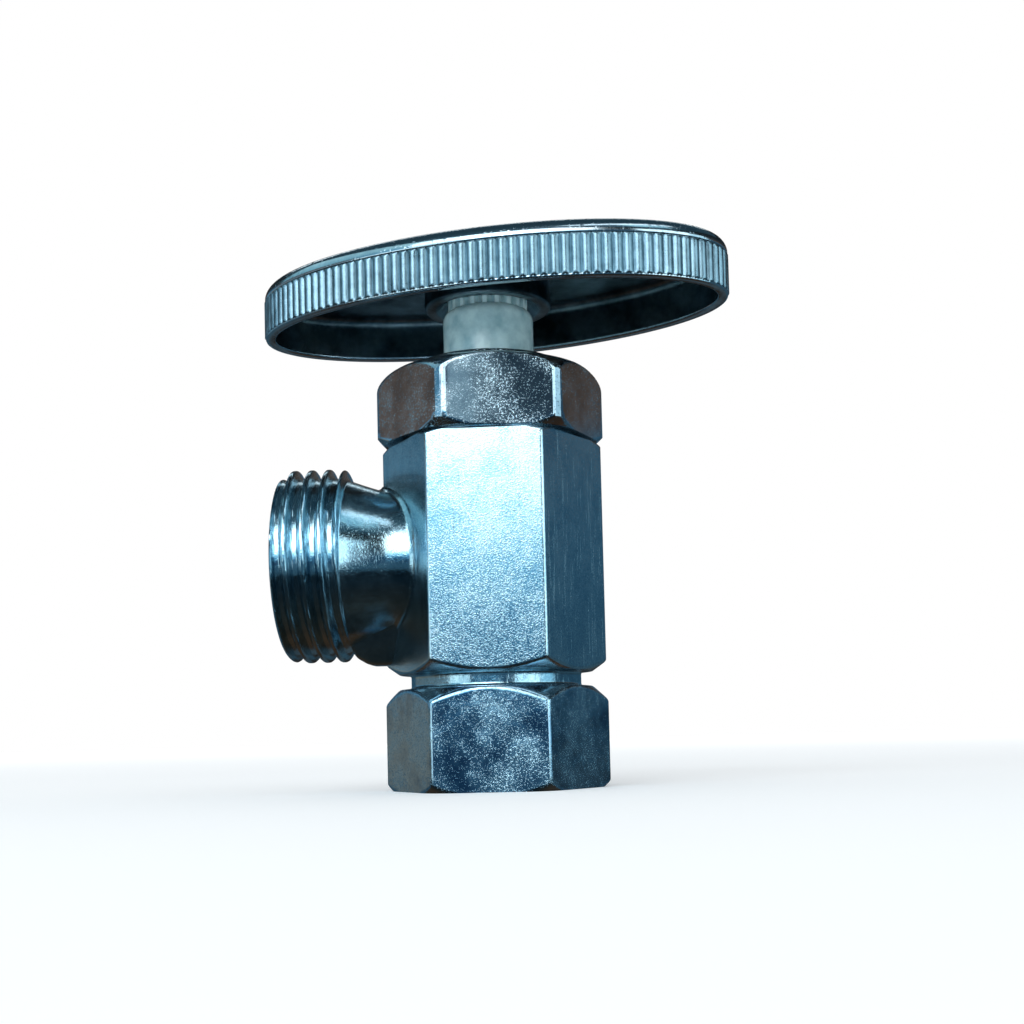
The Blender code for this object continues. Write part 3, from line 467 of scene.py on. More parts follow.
def makeValveBody(satin, turned, pitted):
    size = valveBody
    low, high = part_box("valve_body")
    reach, top = -low[0] / mm, high[2] / mm
    grooveBottom, grooveTop = size["grooveBottom"], size["grooveTop"]
    angles = hexAngles(0.0)
    inletHex = hexRadius(angles, size["inletFlats"], size["inletRounding"], 0.0)
    upperHex = hexRadius(angles, size["flats"], size["rounding"], 0.0)
    rows = []
    for height, radius in outerProfile(size, top):
        hexagon = inletHex if height < (grooveBottom + grooveTop) / 2 else upperHex
        rows.append(turnedRow(smoothMin(hexagon, radius, size["edgeBlend"]), height, angles))
    rows += turnedRows(innerProfile(size, top), angles)
    # the female pipe thread, from its blind end down to the mouth's chamfer
    pitch, depth, crest = size["inletPitch"], size["inletDepth"], size["inletCrest"]
    height = depth + 0.3
    while height > 0.05:
        wave = threadWave(height / pitch - angles / (2 * math.pi), 0.16, 0.34)
        root = crest + (size["inletRoot"] - crest) * wave * smoothStep(depth, depth - 1.4, height)
        rows.append(turnedRow(np.maximum(root, size["mouth"] - height), height, angles))
        height -= pitch / 10
    rows.append(turnedRow(size["mouth"], 0.0, angles))
    body = gridMesh("valveBody", rows, loop=True)
    applyBoolean(body, makeOutlet(reach), "UNION")
    applyBoolean(body, makeWeb(), "UNION")
    applyBoolean(body, makeOutletBore(reach), "DIFFERENCE")
    shade(body, [satin, turned, pitted], 32)
    # the groove and what stands past the flats of the hexagon are turned, the inlet end is pitted
    apothem = size["flats"] / 2 * mm
    for polygon in body.data.polygons:
        x, y, z = polygon.center
        past = max(-x * math.cos(math.pi / 6) + abs(y) / 2, abs(y)) - apothem
        inGroove = grooveBottom * mm < z < grooveTop * mm
        if inGroove or past > 0.02 * mm and z > size["hexBottom"] * mm:
            polygon.material_index = 1
        elif z < grooveBottom * mm:
            polygon.material_index = 2
    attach(body, "valve")
    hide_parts("valve_body")


outlet = {"height": 24.17, "crest": 10.35, "root": 9.3, "pitch": 1.814, "start": 14.8,
          "firstCrest": 20.85, "endRadius": 9.3, "endChamfer": 1.2, "bore": 6.0, "cone": 7.9,
          "coneDepth": 2.2, "neck": 9.0, "neckInner": 7.5, "fillet": 0.8, "columns": 168}


def alongOutlet(rows):
    # rows made round Z are laid along -X at the outlet's height
    rows = np.asarray(rows)
    return np.stack([-rows[..., 2], rows[..., 1], rows[..., 0] + outlet["height"] * mm], axis=-1)


def makeOutlet(reach):
    size = outlet
    angles = np.linspace(0, 2 * math.pi, size["columns"], endpoint=False)
    apothem = valveBody["flats"] / 2
    inner, fillet, endRadius = size["neckInner"], size["fillet"], size["endRadius"]
    neckEnd = size["start"] + 0.1
    rows = turnedRows([(6.95, inner - 0.6), (6.95, inner + 0.45)], angles)

    def neckRadius(distance):
        share = np.clip((distance - apothem) / (neckEnd - apothem), 0, 1)
        return inner + (size["neck"] - inner) * share ** 1.2

    # the neck springs from the two flats that meet at the corner, with a small fillet
    for turn in (70, 58, 46, 34, 22, 10, 0):
        lift = fillet * (1 - math.sin(math.radians(90 - turn)))
        out = fillet * (1 - math.sin(math.radians(turn)))
        radius = inner + 0.1 + lift
        face = (apothem - np.abs(radius * np.sin(angles)) / 2) / math.cos(math.pi / 6)
        distance = np.minimum(face + out, neckEnd - 0.6 + out * 0.2)
        row = turnedRow(neckRadius(distance) + lift, 0.0, angles)
        row[:, 2] = distance * mm
        rows.append(row)
    start = np.array(rows[-1])
    for share in np.linspace(0.15, 1.0, 7):
        distance = start[:, 2] / mm * (1 - share) + neckEnd * share
        row = turnedRow(neckRadius(distance), 0.0, angles)
        row[:, 2] = distance * mm
        rows.append(row)
    chamferStart = reach - size["endChamfer"]
    for distance in np.arange(neckEnd + 0.08, reach - 0.01, 0.085):
        phase = (distance - size["firstCrest"]) / size["pitch"] - angles / (2 * math.pi)
        wave = threadWave(phase, 0.1, 0.34)
        swell = smoothStep(neckEnd, neckEnd + 0.75, distance)
        radius = size["root"] + (size["crest"] - size["root"]) * wave
        radius = size["neck"] + (radius - size["neck"]) * swell
        past = max(0.0, (distance - chamferStart) / size["endChamfer"])
        bevel = endRadius + (size["crest"] - endRadius) * math.sqrt(max(0.0, 1 - past ** 2))
        rows.append(turnedRow(smoothMin(radius, bevel, 0.12), distance, angles))
    end = [(reach - 0.03, endRadius - 0.05), (reach, endRadius - 0.2), (reach, 4.0)]
    rows += turnedRows(end, angles)
    return gridMesh("outletForm", alongOutlet(rows), loop=False)


def makeOutletBore(reach):
    size = outlet
    angles = np.linspace(0, 2 * math.pi, 96, endpoint=False)
    slope = (size["cone"] - size["bore"]) / size["coneDepth"]
    profile = [(0.4, size["bore"])]
    profile += [(out, size["bore"]) for out in np.linspace(4, reach - size["coneDepth"], 9)]
    profile.append((reach + 1.0, size["cone"] + slope))
    return gridMesh("outletBore", alongOutlet(turnedRows(profile, angles)), loop=False)


neckWeb = {"inside": 7.6, "footHalf": 1.5, "topHalf": 3.7, "foot": 13.35, "reach": 15.3,
           "footReach": 13.3, "rise": 4.8, "rounding": 1.1}


def makeWeb():
    # forged web under the neck: narrow at its foot, spreading into the neck, rounded all over
    size = neckWeb
    outline = [(-size["inside"], size["foot"], size["footHalf"]),
               (-size["footReach"], size["foot"], size["footHalf"]),
               (-size["reach"] + 0.5, size["foot"] + 0.9, 1.9),
               (-size["reach"], size["foot"] + 2.3, 2.5),
               (-size["reach"], size["foot"] + size["rise"], size["topHalf"]),
               (-size["inside"], size["foot"] + size["rise"], size["topHalf"])]
    count = len(outline)
    points = [(x * mm, side * half * mm, z * mm) for side in (-1, 1) for x, z, half in outline]
    sides = [(k, (k + 1) % count, (k + 1) % count + count, k + count) for k in range(count)]
    mesh = bpy.data.meshes.new("neckWeb")
    mesh.from_pydata(points, [], sides + [tuple(range(count))[::-1], tuple(range(count, 2 * count))])
    shape = bmesh.new()
    shape.from_mesh(mesh)
    bmesh.ops.triangulate(shape, faces=[face for face in shape.faces if len(face.verts) > 4])
    bmesh.ops.recalc_face_normals(shape, faces=shape.faces)
    sharp = [edge for edge in shape.edges if edge.calc_face_angle() > math.radians(15)]
    bmesh.ops.bevel(shape, geom=sharp, offset=size["rounding"] * mm, segments=5, profile=0.5,
                    affect="EDGES", clamp_overlap=True)
    shape.to_mesh(mesh)
    shape.free()
    return newObject("neckWeb", mesh)


packingNut = {"flats": 21.36, "turn": 8.8, "rounding": 0.3, "cornerCut": 12.06, "domeStart": 42.2,
              "domeTop": 44.5, "lip": 7.9, "hole": 5.13, "ceiling": 43.6, "bore": 9.45, "face": 11.3,
              "edge": 0.7, "edgeBlend": 0.12}


def makePackingNut(material):
    size = packingNut
    low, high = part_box("packing_nut")
    bottom, top = low[2] / mm, high[2] / mm
    turn = math.radians(size["turn"])
    angles = hexAngles(turn)
    hexagon = hexRadius(angles, size["flats"], size["rounding"], turn)
    cut, bore, hole, lip = size["cornerCut"], size["bore"], size["hole"], size["lip"]
    face, edge, ceiling = size["face"], bottom + size["edge"], size["ceiling"]
    domeStart, domeTop = size["domeStart"], size["domeTop"]
    outer = between((bottom, bore + 0.1), (bottom, face), 4)
    outer += between((bottom, face), (edge, cut), 8)
    outer += between((edge, cut), (domeStart - 0.1, cut), 8)
    for step in np.linspace(0.0, 1.0, 26):
        angle = step * math.pi / 2
        outer.append((domeStart + (domeTop - domeStart) * math.sin(angle),
                      lip + (cut - lip) * math.cos(angle)))
    rows = [turnedRow(smoothMin(hexagon, radius, size["edgeBlend"]), height, angles)
            for height, radius in outer]
    inner = [(domeTop + 0.05, lip - 0.08), (top - 0.35, lip - 0.12)]
    inner += arc((top - 0.3, lip - 0.45), 0.3, 90, 0, 5)
    inner += between((top, lip - 0.5), (top, hole + 0.6), 5)
    inner += arc((top - 0.5, hole + 0.5), 0.5, 0, -90, 6)
    inner += between((top - 0.6, hole), (ceiling, hole), 3)
    inner += between((ceiling, hole), (ceiling, bore - 0.5), 4)
    inner += between((ceiling, bore - 0.5), (ceiling - 0.5, bore), 2)
    inner += between((ceiling - 0.5, bore), (bottom + 0.1, bore), 8)
    rows += turnedRows(inner, angles)
    nut = gridMesh("packingNut", rows, loop=True)
    shade(nut, [material], 40)
    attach(nut, "valve")
    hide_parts("packing_nut")


valveStem = {"radius": 4.83, "crest": 5.9, "root": 5.15, "lead": 1.5875, "threadBottom": 28.6,
             "threadTop": 37.1, "foot": 4.4, "socket": 2.0, "barb": 2.25, "socketTop": 30.1,
             "screwHole": 2.35, "screwFloor": 47.5, "splineCrest": 4.25, "splineRoot": 3.65,
             "splines": 20, "splineBottom": 51.1, "columns": 240}


def makeStem(material):
    size = valveStem
    low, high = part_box("stem")
    bottom, top = low[2] / mm, high[2] / mm
    angles = np.linspace(0, 2 * math.pi, size["columns"], endpoint=False)
    socketTop, socket, barb, foot = size["socketTop"], size["socket"], size["barb"], size["foot"]
    threadBottom, threadTop = size["threadBottom"], size["threadTop"]
    profile = [(socketTop, 0.5), (socketTop, barb - 0.1), (socketTop - 0.1, barb),
               (socketTop - 2.0, barb), (socketTop - 2.3, socket), (bottom + 0.1, socket),
               (bottom, socket + 0.1), (bottom, foot - 0.4)]
    profile += arc((bottom + 0.4, foot - 0.4), 0.4, 180, 90, 5)
    profile += between((bottom + 0.5, foot), (threadBottom, foot), 4)
    rows = turnedRows(profile, angles)
    for height in np.arange(threadBottom + 0.05, threadTop, 0.13):
        phase = (height - threadBottom) / size["lead"] - angles / (2 * math.pi)
        ends = min(smoothStep(threadBottom, threadBottom + 0.9, height),
                   smoothStep(threadTop, threadTop - 0.9, height))
        radius = size["root"] + (size["crest"] - size["root"]) * threadWave(phase, 0.2, 0.3) * ends
        rows.append(turnedRow(radius, height, angles))
    # the smooth journal, then a rounded shoulder down to the splines
    radius, splineBottom = size["radius"], size["splineBottom"]
    splineCrest, splineRoot = size["splineCrest"], size["splineRoot"]
    shoulder = radius - splineRoot
    journal = between((threadTop + 0.1, radius), (splineBottom - shoulder, radius), 16)
    rows += turnedRows(journal, angles)
    teeth = threadWave(angles * size["splines"] / (2 * math.pi), 0.3, 0.2)
    spline = splineRoot + (splineCrest - splineRoot) * teeth
    for step in np.linspace(0, math.pi / 2, 10):
        rounded = radius - shoulder * (1 - math.cos(step))
        rooted = np.minimum(spline, rounded + 2.0 * (step > 1.0))
        rows.append(turnedRow(np.maximum(rounded, rooted),
                              splineBottom - shoulder * (1 - math.sin(step)), angles))
    rows += turnedRows([(height, spline) for height in np.linspace(splineBottom + 0.1, top - 0.3, 8)],
                       angles)
    hole, floor = size["screwHole"], size["screwFloor"]
    rows += turnedRows([(top, np.minimum(spline, splineCrest - 0.3)), (top, hole), (floor, hole),
                        (floor, 0.5)], angles)
    stem = gridMesh("valveStem", rows, loop=False)
    shade(stem, [material], 45)
    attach(stem, "stem_and_handle")
    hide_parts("stem")


ovalHandle = {"halfLength": 26.0, "halfWidth": 13.18, "turn": -15.1, "rimHeight": 6.2, "crown": 0.9,
              "wall": 1.25, "roof": 1.5, "fluteBottom": 0.26, "fluteTop": 4.3, "fluteDepth": 0.27,
              "flutes": 121, "perFlute": 8, "hub": 6.76, "hubBottom": 1.28, "hubCone": 5.5,
              "boss": 5.2, "screwHole": 2.35, "splineGap": 0.25}


def ovalPoints(size):
    # points at equal steps round the ellipse, their outward normals, and a matching circle
    count = size["flutes"] * size["perFlute"]
    fine = np.linspace(0, 2 * math.pi, 20001)
    a, b = size["halfLength"], size["halfWidth"]
    edge = np.stack([a * np.cos(fine), b * np.sin(fine)], axis=1)
    lengths = np.concatenate([[0], np.cumsum(np.linalg.norm(np.diff(edge, axis=0), axis=1))])
    t = np.interp(np.linspace(0, lengths[-1], count, endpoint=False), lengths, fine)
    points = np.stack([a * np.cos(t), b * np.sin(t)], axis=1)
    normals = np.stack([b * np.cos(t), a * np.sin(t)], axis=1)
    normals /= np.linalg.norm(normals, axis=1)[:, None]
    around = np.unwrap(np.arctan2(points[:, 1], points[:, 0]))
    turn = math.radians(size["turn"])
    spin = np.array([[math.cos(turn), -math.sin(turn)], [math.sin(turn), math.cos(turn)]])
    circle = np.stack([np.cos(around + turn), np.sin(around + turn)], axis=1)
    return points @ spin.T, normals @ spin.T, circle, around + turn


def makeHandle(chrome, shadedCastSkin, shadedFluted):
    size = ovalHandle
    low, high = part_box("handle")
    base, bossTop = low[2] / mm, high[2] / mm
    rim = base + size["rimHeight"]
    roof = rim - size["roof"]
    boss, hub, hubCone, wall, hole = [size[key] for key in ("boss", "hub", "hubCone", "wall",
                                                            "screwHole")]
    fluteBottom, fluteTop = base + size["fluteBottom"], base + size["fluteTop"]
    points, normals, circle, around = ovalPoints(size)
    share = (np.arange(len(points)) % size["perFlute"]) / size["perFlute"]
    hollow = (2 * share - 1) ** 2
    rows = []
    skin = []

    def keep(flat, height, slot=0):
        rows.append(np.column_stack([flat, np.full(len(flat), height)]) * mm)
        skin.append(slot)

    def ovalRow(inset, height, slot=0, depth=0.0):
        keep(points - normals * (inset + depth * hollow)[:, None], height, slot)

    def morphRow(inset, radius, mix, height, slot=0):
        keep((points - normals * inset) * (1 - mix) + circle * radius * mix, height, slot)

    def roundRow(radius, height, slot=0):
        keep(circle * radius, height, slot)

    # the lower edge and the fluted band, whose flutes fade out at both ends
    for turn in np.radians(np.linspace(90, 0, 5)):
        ovalRow(0.14 + 0.3 * (1 - math.cos(turn)), base + 0.16 * (1 - math.sin(turn)))
    depth = size["fluteDepth"]
    ends = ((0.0, 0.14, 0.0), (0.05, 0.06, 0.5), (0.14, 0.01, 0.9), (0.3, 0.0, 1.0))
    for lift, inset, part in ends:
        ovalRow(inset, fluteBottom + lift, 2, depth * part)
    for height in np.linspace(fluteBottom + 0.6, fluteTop - 0.6, 4):
        ovalRow(0.0, height, 2, depth)
    for lift, inset, part in reversed(ends):
        ovalRow(inset, fluteTop - lift, 2 if lift else 0, depth * part)
    ovalRow(0.1, fluteTop + 0.08)
    # the rounded shoulder, the crown and the boss
    shoulder = rim - (fluteTop + 0.2)
    for turn in np.radians(np.linspace(0, 90, 12)):
        ovalRow(0.08 + 2.1 * (1 - math.cos(turn)), rim - shoulder * (1 - math.sin(turn)))
    for mix in np.linspace(0.06, 0.97, 18):
        rise = (size["crown"] - 0.25) * math.sin(mix * math.pi / 2)
        morphRow(2.2, boss + 0.5, mix, rim + rise)
    roundRow(boss + 0.15, bossTop - 0.22)
    for turn in np.radians(np.linspace(0, 90, 4)):
        roundRow(boss - 0.2 + 0.2 * math.cos(turn), bossTop - 0.2 + 0.2 * math.sin(turn))
    # down the screw hole and the splined bore, then round the hub
    roundRow(hole + 0.1, bossTop)
    roundRow(hole, bossTop - 0.1, 1)
    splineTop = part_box("stem")[1][2] / mm + 0.3
    roundRow(hole, splineTop, 1)
    teeth = threadWave(around * valveStem["splines"] / (2 * math.pi), 0.3, 0.2)
    root = valveStem["splineRoot"] + size["splineGap"]
    crest = valveStem["splineCrest"] + size["splineGap"]
    bore = root + (crest - root) * teeth
    hubBottom = base + size["hubBottom"]
    for height in (splineTop, hubBottom + 1.6, hubBottom + 1.3):
        roundRow(bore[:, None], height, 1)
    for radius, lift in ((hubCone - 0.7, 0.9), (hubCone, 0.1), (hubCone + 0.1, 0.0), (hub - 0.3, 0.0)):
        roundRow(radius, hubBottom + lift, 1)
    for turn in np.radians(np.linspace(30, 90, 3)):
        roundRow(hub - 0.3 + 0.3 * math.sin(turn), hubBottom + 0.3 * (1 - math.cos(turn)), 1)
    # the roof and the wall of the hollow, down to its rounded edge
    roundRow(hub, roof - 0.7, 1)
    for turn in np.radians(np.linspace(0, 90, 6)):
        roundRow(hub + 0.7 * (1 - math.cos(turn)), roof - 0.7 + 0.7 * math.sin(turn), 1)
    for mix in np.linspace(0.9, 0.1, 8):
        morphRow(wall + 1.1, hub + 0.7, mix, roof, 1)
    for turn in np.radians(np.linspace(90, 0, 7)):
        ovalRow(wall + 1.1 * (1 - math.cos(turn)), roof - 1.1 * (1 - math.sin(turn)), 1)
    ovalRow(wall, base + 0.35, 1)
    for turn in np.radians(np.linspace(0, 90, 4)):
        ovalRow(wall - 0.3 * (1 - math.cos(turn)), base + 0.3 * (1 - math.sin(turn)))
    handle = gridMesh("ovalHandle", rows, loop=True, slots=skin)
    shade(handle, [chrome, shadedCastSkin, shadedFluted], 50)
    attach(handle, "stem_and_handle")
    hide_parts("handle")


handleScrew = {"head": 3.6, "headHeight": 1.9, "shank": 2.05, "core": 1.6, "pitch": 1.0,
               "recess": 1.9, "recessWidth": 0.75, "recessDepth": 1.25}


def makeScrew(material):
    size = handleScrew
    low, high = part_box("handle_screw")
    bottom, top = low[2] / mm, high[2] / mm
    seat = top - size["headHeight"]
    angles = np.linspace(0, 2 * math.pi, 96, endpoint=False)
    core, shank, head = size["core"], size["shank"], size["head"]
    rows = [turnedRow(0.2, bottom, angles)]
    for height in np.arange(bottom + 0.1, seat - 0.6, 0.1):
        wave = threadWave(height / size["pitch"] - angles / (2 * math.pi), 0.1, 0.38)
        point = min(1.0, 0.45 + (height - bottom) / 2.2)
        rows.append(turnedRow((core + (shank - core) * wave) * point, height, angles))
    profile = [(seat - 0.4, shank), (seat, shank), (seat, head - 0.15), (seat + 0.12, head)]
    for turn in np.radians(np.linspace(12, 86, 12)):
        profile.append((seat + size["headHeight"] * (0.2 + 0.8 * math.sin(turn)),
                        head * math.cos(turn) ** 0.8))
    rows += turnedRows(profile, angles)
    screw = gridMesh("handleScrew", rows, loop=False)
    # the driver recess: four wings that narrow and slope towards the bottom
    for turn in (0.0, math.pi / 2):
        shape = bmesh.new()
        bmesh.ops.create_cube(shape, size=1.0)
        for vertex in shape.verts:
            deep = vertex.co.z < 0
            vertex.co.x *= (size["recess"] if deep else size["recess"] * 2.3) * mm
            vertex.co.y *= (size["recessWidth"] * 0.8 if deep else size["recessWidth"] * 1.15) * mm
            vertex.co.z = (top - size["recessDepth"] if deep else top + 0.6) * mm
        bmesh.ops.rotate(shape, verts=shape.verts, matrix=Matrix.Rotation(turn + 0.3, 3, "Z"))
        mesh = bpy.data.meshes.new("recessWing")
        shape.to_mesh(mesh)
        shape.free()
        applyBoolean(screw, newObject("recessWing", mesh), "DIFFERENCE")
    shade(screw, [material], 35)
    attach(screw, "stem_and_handle")
    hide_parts("handle_screw")


studio = {"floor": "#f6f6f6", "nearFloor": 0.12, "farFloor": 0.6, "nearLift": 0.17, "farLift": 0.38,
          "aimHeight": 0.03, "lampPlace": (-0.25, -0.55, 0.4), "lampSize": (0.5, 0.4),
          "lampColour": "#e4eff6", "lampPower": 1.7, "worldColour": "#eef3f6", "world": 0.88,
          "room": 1.1, "roomTop": 1.1, "roomFloor": -0.06, "benchMiddle": 0.12, "benchBehind": 0.0}


def emissionMaterial(name, stops, axis, low, high, strength):
    # colours laid along one axis of the scene, for the card or wall that carries them
    material, tree, surface = emptyMaterial(name)
    place = addNode(tree, "NewGeometry").outputs["Position"]
    split = addNode(tree, "SeparateXYZ", {"Vector": place})
    share = addNode(tree, "MapRange", {
        "Value": split.outputs[axis], "From Min": low, "From Max": high})
    ramp = addNode(tree, "ValToRGB", {"Fac": share.outputs["Result"]})
    colour = setRamp(ramp, [(position, hexColour(code)) for position, code in stops])
    glow = addNode(tree, "Emission", {"Color": colour, "Strength": strength})
    tree.links.new(glow.outputs["Emission"], surface)
    return material


def reflectOnly(piece):
    # seen in the metal, never by the camera, and it neither lights nor shades anything matt
    piece.visible_camera = False
    piece.visible_diffuse = False
    piece.visible_shadow = False
    piece.visible_transmission = False


def aimAtValve(piece, place, axis):
    piece.location = place
    toValve = Vector((0, 0, studio["aimHeight"])) - piece.location
    piece.rotation_euler = toValve.to_track_quat(axis, "Y").to_euler()


# Walls of the room: the axis their colours run along, from one side of the room to the other.
roomColours = {
    "rightWall": ("Z", [(0.0, "#3a332c"), (0.03, "#2f4652"), (0.1, "#335468"), (0.26, "#3b5f75"),
                        (0.35, "#426478"), (0.38, "#62524a"), (0.45, "#57483f"), (0.55, "#2c3438"),
                        (1.0, "#161c20")]),
    "leftWall": ("Z", [(0.0, "#80796f"), (0.07, "#7f7d74"), (0.12, "#5f7683"), (0.18, "#7fb0ca"),
                       (0.26, "#6a8da3"), (0.3, "#79665d"), (0.42, "#66554c"), (0.5, "#2c3438"),
                       (1.0, "#161c20")]),
    "benchWood": ("Y", [(0.0, "#4f7386"), (0.34, "#46687a"), (0.37, "#0d161c"), (0.436, "#16242d"),
                        (0.49, "#2b2b28"), (0.518, "#4a3527"), (0.541, "#3a2d24"),
                        (0.56, "#465259"), (0.65, "#465259"), (0.673, "#2c2520"),
                        (1.0, "#2c2520")]),
    "frontWall": ("Z", [(0.0, "#2c4c66"), (0.1, "#34566f"), (0.22, "#375870"), (0.32, "#40525f"),
                        (0.45, "#36454f"), (0.6, "#2c3438"), (1.0, "#161c20")]),
    "ceiling": ("Y", [(0.0, "#4a6c7c"), (0.35, "#304955"), (0.6, "#2a404b"), (1.0, "#3d5561")]),
    "paleBench": ("Y", [(0.0, "#3b5563")])}


def makeRoom():
    # dim walls round the bench, so that the polished metal has something dark to show; the bench is
    # dark in front and in the middle, and paler to both sides behind
    half, floor, top = studio["room"], studio["roomFloor"], studio["roomTop"]
    side, behind = studio["benchMiddle"], studio["benchBehind"]
    corners = [(x, y, z) for z in (floor, top) for x, y in
               ((-half, -half), (half, -half), (half, half), (-half, half))]
    corners += [(x, y, floor) for y in (behind, half) for x in (-half, -side, side, half)]
    faces = {(0, 1, 5, 4): "frontWall", (1, 2, 6, 5): "rightWall", (2, 3, 7, 6): "rightWall",
             (3, 0, 4, 7): "leftWall", (4, 5, 6, 7): "ceiling", (0, 8, 11, 1): "benchWood",
             (9, 13, 14, 10): "benchWood", (8, 12, 13, 9): "paleBench", (10, 14, 15, 11): "paleBench"}
    mesh = bpy.data.meshes.new("roomWalls")
    mesh.from_pydata(corners, [], list(faces))
    room = newObject("roomWalls", mesh)
    for name, (axis, stops) in roomColours.items():
        low, high = (floor, top) if axis == "Z" else (-half, half)
        mesh.materials.append(emissionMaterial(name, stops, axis, low, high, 1.0))
    for polygon, name in zip(mesh.polygons, faces.values()):
        polygon.material_index = list(roomColours).index(name)
    reflectOnly(room)


# Cards of daylight: centre, width and height in metres, colours from the first height to the second,
# and how bright they are.
sky = [(0.0, "#6fa9bd"), (1.0, "#b5dfe9")]
daylightCards = {
    "window": ((-0.14, -0.8, 0.34), 0.58, 0.62, 0.03, 0.45, 2.6,
               [(0.0, "#0f2838"), (0.18, "#1c5070"), (0.34, "#84c9e1"), (0.44, "#effcff"),
                (1.0, "#fbfdfb")]),
    "windowEdge": ((0.163, -0.8, 0.38), 0.03, 0.44, 0.0, 1.0, 0.9, [(0.0, "#b4d3e1")]),
    "stripLeft": ((-0.64, -0.62, 0.2), 0.5, 0.5, 0.0, 0.4, 1.6,
                  [(0.0, "#e8fbff"), (0.4, "#dff6fd"), (0.5, "#7fb4cc"), (0.6, "#5d8ea7"),
                   (1.0, "#5d8ea7")]),
    "stripRight": ((0.9, -0.22, 0.2), 0.36, 0.5, 0.0, 0.4, 1.6,
                   [(0.0, "#8fc3da"), (0.5, "#c4e6f2")]),
    "stripRightFront": ((0.62, -0.58, 0.22), 0.55, 0.5, 0.0, 1.0, 2.4, [(0.0, "#dff4fb")]),
    "skyLeft": ((-0.68, -0.08, 0.56), 0.8, 0.48, 0.3, 0.8, 1.1, sky),
    "skyFrontLeft": ((-0.5, -0.56, 0.58), 0.46, 0.36, 0.3, 0.8, 1.0, sky),
    "skyBackLeft": ((-0.95, 0.66, 0.2), 0.44, 0.5, 0.0, 0.4, 1.0,
                    [(0.0, "#8d8980"), (0.12, "#807d76"), (0.26, "#5f8fa8"), (0.55, "#6f9cb5"),
                     (0.7, "#46667a"), (1.0, "#3d5a6c")]),
    "stripAbove": ((0.24, -0.3, 0.85), 0.6, 0.14, 0.0, 1.0, 2.0, [(0.0, "#e6f6ff")]),
    "stripBack": ((-0.08, 0.66, 0.62), 0.7, 0.08, 0.0, 1.0, 2.0, [(0.0, "#eef8fc")]),
    "skyRight": ((0.42, -0.4, 0.9), 0.34, 0.34, 0.0, 1.0, 1.5, [(0.0, "#a9d4e2")])}


def makeCards():
    for name, (centre, width, height, low, high, strength, stops) in daylightCards.items():
        mesh = bpy.data.meshes.new(name)
        corners = [(-width / 2, -height / 2, 0), (width / 2, -height / 2, 0),
                   (width / 2, height / 2, 0), (-width / 2, height / 2, 0)]
        mesh.from_pydata(corners, [], [(0, 1, 2, 3)])
        mesh.materials.append(emissionMaterial(name, stops, "Z", low, high, strength))
        piece = newObject(name, mesh)
        aimAtValve(piece, centre, "Z")
        reflectOnly(piece)


def makeFloor():
    mesh = bpy.data.meshes.new("floor")
    mesh.from_pydata([(-3, -3, 0), (3, -3, 0), (3, 3, 0), (-3, 3, 0)], [], [(0, 1, 2, 3)])
    floor = newObject("floor", mesh)
    paper = bpy.data.materials.new("palePaper")
    paper.use_nodes = True
    tree = paper.node_tree
    sheet = tree.nodes["Principled BSDF"]
    sheet.inputs["Base Color"].default_value = hexColour(studio["floor"])
    sheet.inputs["Roughness"].default_value = 0.8
    sheet.inputs["Emission Color"].default_value = grey(1.0)
    # only the camera sees this: the far floor runs out into white, the near floor keeps its shadow
    eye = addNode(tree, "LightPath")
    place = addNode(tree, "NewGeometry").outputs["Position"]
    away = addNode(tree, "VectorMath", {0: place}, operation="LENGTH")
    fade = addNode(tree, "MapRange", {
        "Value": away.outputs["Value"], "From Min": studio["nearFloor"],
        "From Max": studio["farFloor"], "To Min": studio["nearLift"], "To Max": studio["farLift"]})
    lift = addNode(tree, "Math", {
        0: eye.outputs["Is Camera Ray"], 1: fade.outputs["Result"]}, operation="MULTIPLY")
    tree.links.new(lift.outputs["Value"], sheet.inputs["Emission Strength"])
    mesh.materials.append(paper)
    floor.visible_glossy = False


def makeWorld():
    # white to the camera and in every mirror, a little softer where it lights the valve
    world = bpy.data.worlds.new("studio")
    bpy.context.scene.world = world
    world.use_nodes = True
    tree = world.node_tree
    tree.nodes.clear()
    output = addNode(tree, "OutputWorld")
    rays = addNode(tree, "LightPath")
    seen = rays.outputs["Is Camera Ray"]
    for ray in ("Is Glossy Ray", "Is Transmission Ray"):
        seen = addNode(tree, "Math", {
            0: seen, 1: rays.outputs[ray]}, operation="MAXIMUM").outputs["Value"]
    soft = addNode(tree, "Background", {
        "Color": hexColour(studio["worldColour"]), "Strength": studio["world"]})
    white = addNode(tree, "Background", {"Color": grey(1.0), "Strength": 1.0})
    mixed = addNode(tree, "MixShader", {
        0: seen, 1: soft.outputs["Background"], 2: white.outputs["Background"]})
    tree.links.new(mixed.outputs["Shader"], output.inputs["Surface"])


def makeLamp():
    lamp = bpy.data.lights.new("windowLamp", "AREA")
    lamp.shape = "RECTANGLE"
    lamp.size, lamp.size_y = studio["lampSize"]
    lamp.energy = studio["lampPower"]
    lamp.color = hexColour(studio["lampColour"])[:3]
    aimAtValve(newObject("windowLamp", lamp), studio["lampPlace"], "-Z")


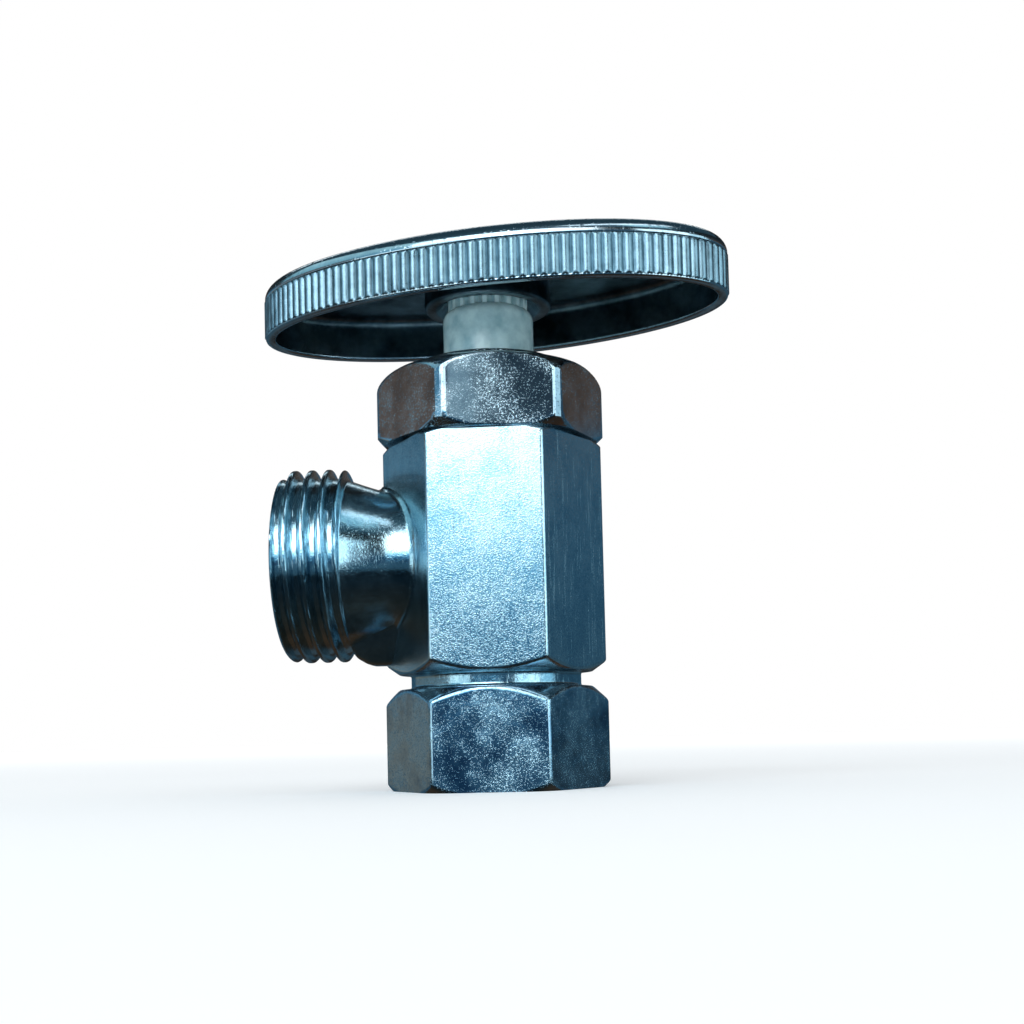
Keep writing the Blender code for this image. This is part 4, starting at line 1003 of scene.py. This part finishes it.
# held level with the inlet end, a hand's length away, and tilted up a little; turns in radians
view = {"place": (10.96, -148.53, 5.26), "yaw": 0.062353, "pitch": 0.0514, "roll": 0.0242,
        "sensor": 36.0, "lens": 49.33, "shift": 0.1508}


def makeCamera():
    camera = bpy.data.cameras.new("camera")
    camera.sensor_width = view["sensor"]
    camera.lens = view["lens"]
    camera.shift_y = view["shift"]
    camera.clip_start = 0.01
    piece = newObject("camera", camera)
    aim = (Matrix.Rotation(view["yaw"], 4, "Z") @ Matrix.Rotation(view["pitch"], 4, "X")
           @ Matrix.Rotation(view["roll"], 4, "Y") @ Matrix.Rotation(math.pi / 2, 4, "X"))
    piece.matrix_world = Matrix.Translation(Vector(view["place"]) * mm) @ aim
    bpy.context.scene.camera = piece


makeCamera()
print("camera placed")
platedBrass = makePlatedBrass("satinPlatedBrass", satinFlats)
turnedBrass = makePlatedBrass("turnedPlatedBrass", turnedParts)
pittedChrome = makeFinish("pittedNutChrome", nutChrome)
inletChrome = makeFinish("pittedInletChrome", inletHexChrome)
brightChrome = makeFinish("brightChrome", handleChrome)
# a dark finish: painted shade for the hollow under the handle
shadedCastSkin = makeFinish("thinPlatedCastSkinPaintedShade", shadedCastInside)
# the handle's chrome darkened as painted shade for the flutes
shadedFlutedChrome = makeFinish("unbuffedFlutedChromePaintedShade", shadedFluteChrome)
acetal = makeAcetal("offWhiteAcetal")
platedSteel = makePlainFinish("nickelPlatedSteel")
print("materials made")
makeValveBody(platedBrass, turnedBrass, inletChrome)
print("valve body made")
makePackingNut(pittedChrome)
makeStem(acetal)
print("nut and stem made")
makeHandle(brightChrome, shadedCastSkin, shadedFlutedChrome)
makeScrew(platedSteel)
print("handle and screw made")
innerFinishes = {"packing_washer": "machinedBrass", "stem_packing": "packingRubber",
                 "friction_ring": "whiteNylon", "seat_washer": "washerRubber",
                 "washer_holder": "pressedBrass"}
for node, finish in innerFinishes.items():
    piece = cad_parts[node]
    piece.data.materials.clear()
    piece.data.materials.append(makePlainFinish(finish))
print("inner pieces finished")
makeFloor()
makeWorld()
makeRoom()
makeCards()
makeLamp()
print("studio lit")
bpy.context.scene.view_settings.view_transform = "Standard"
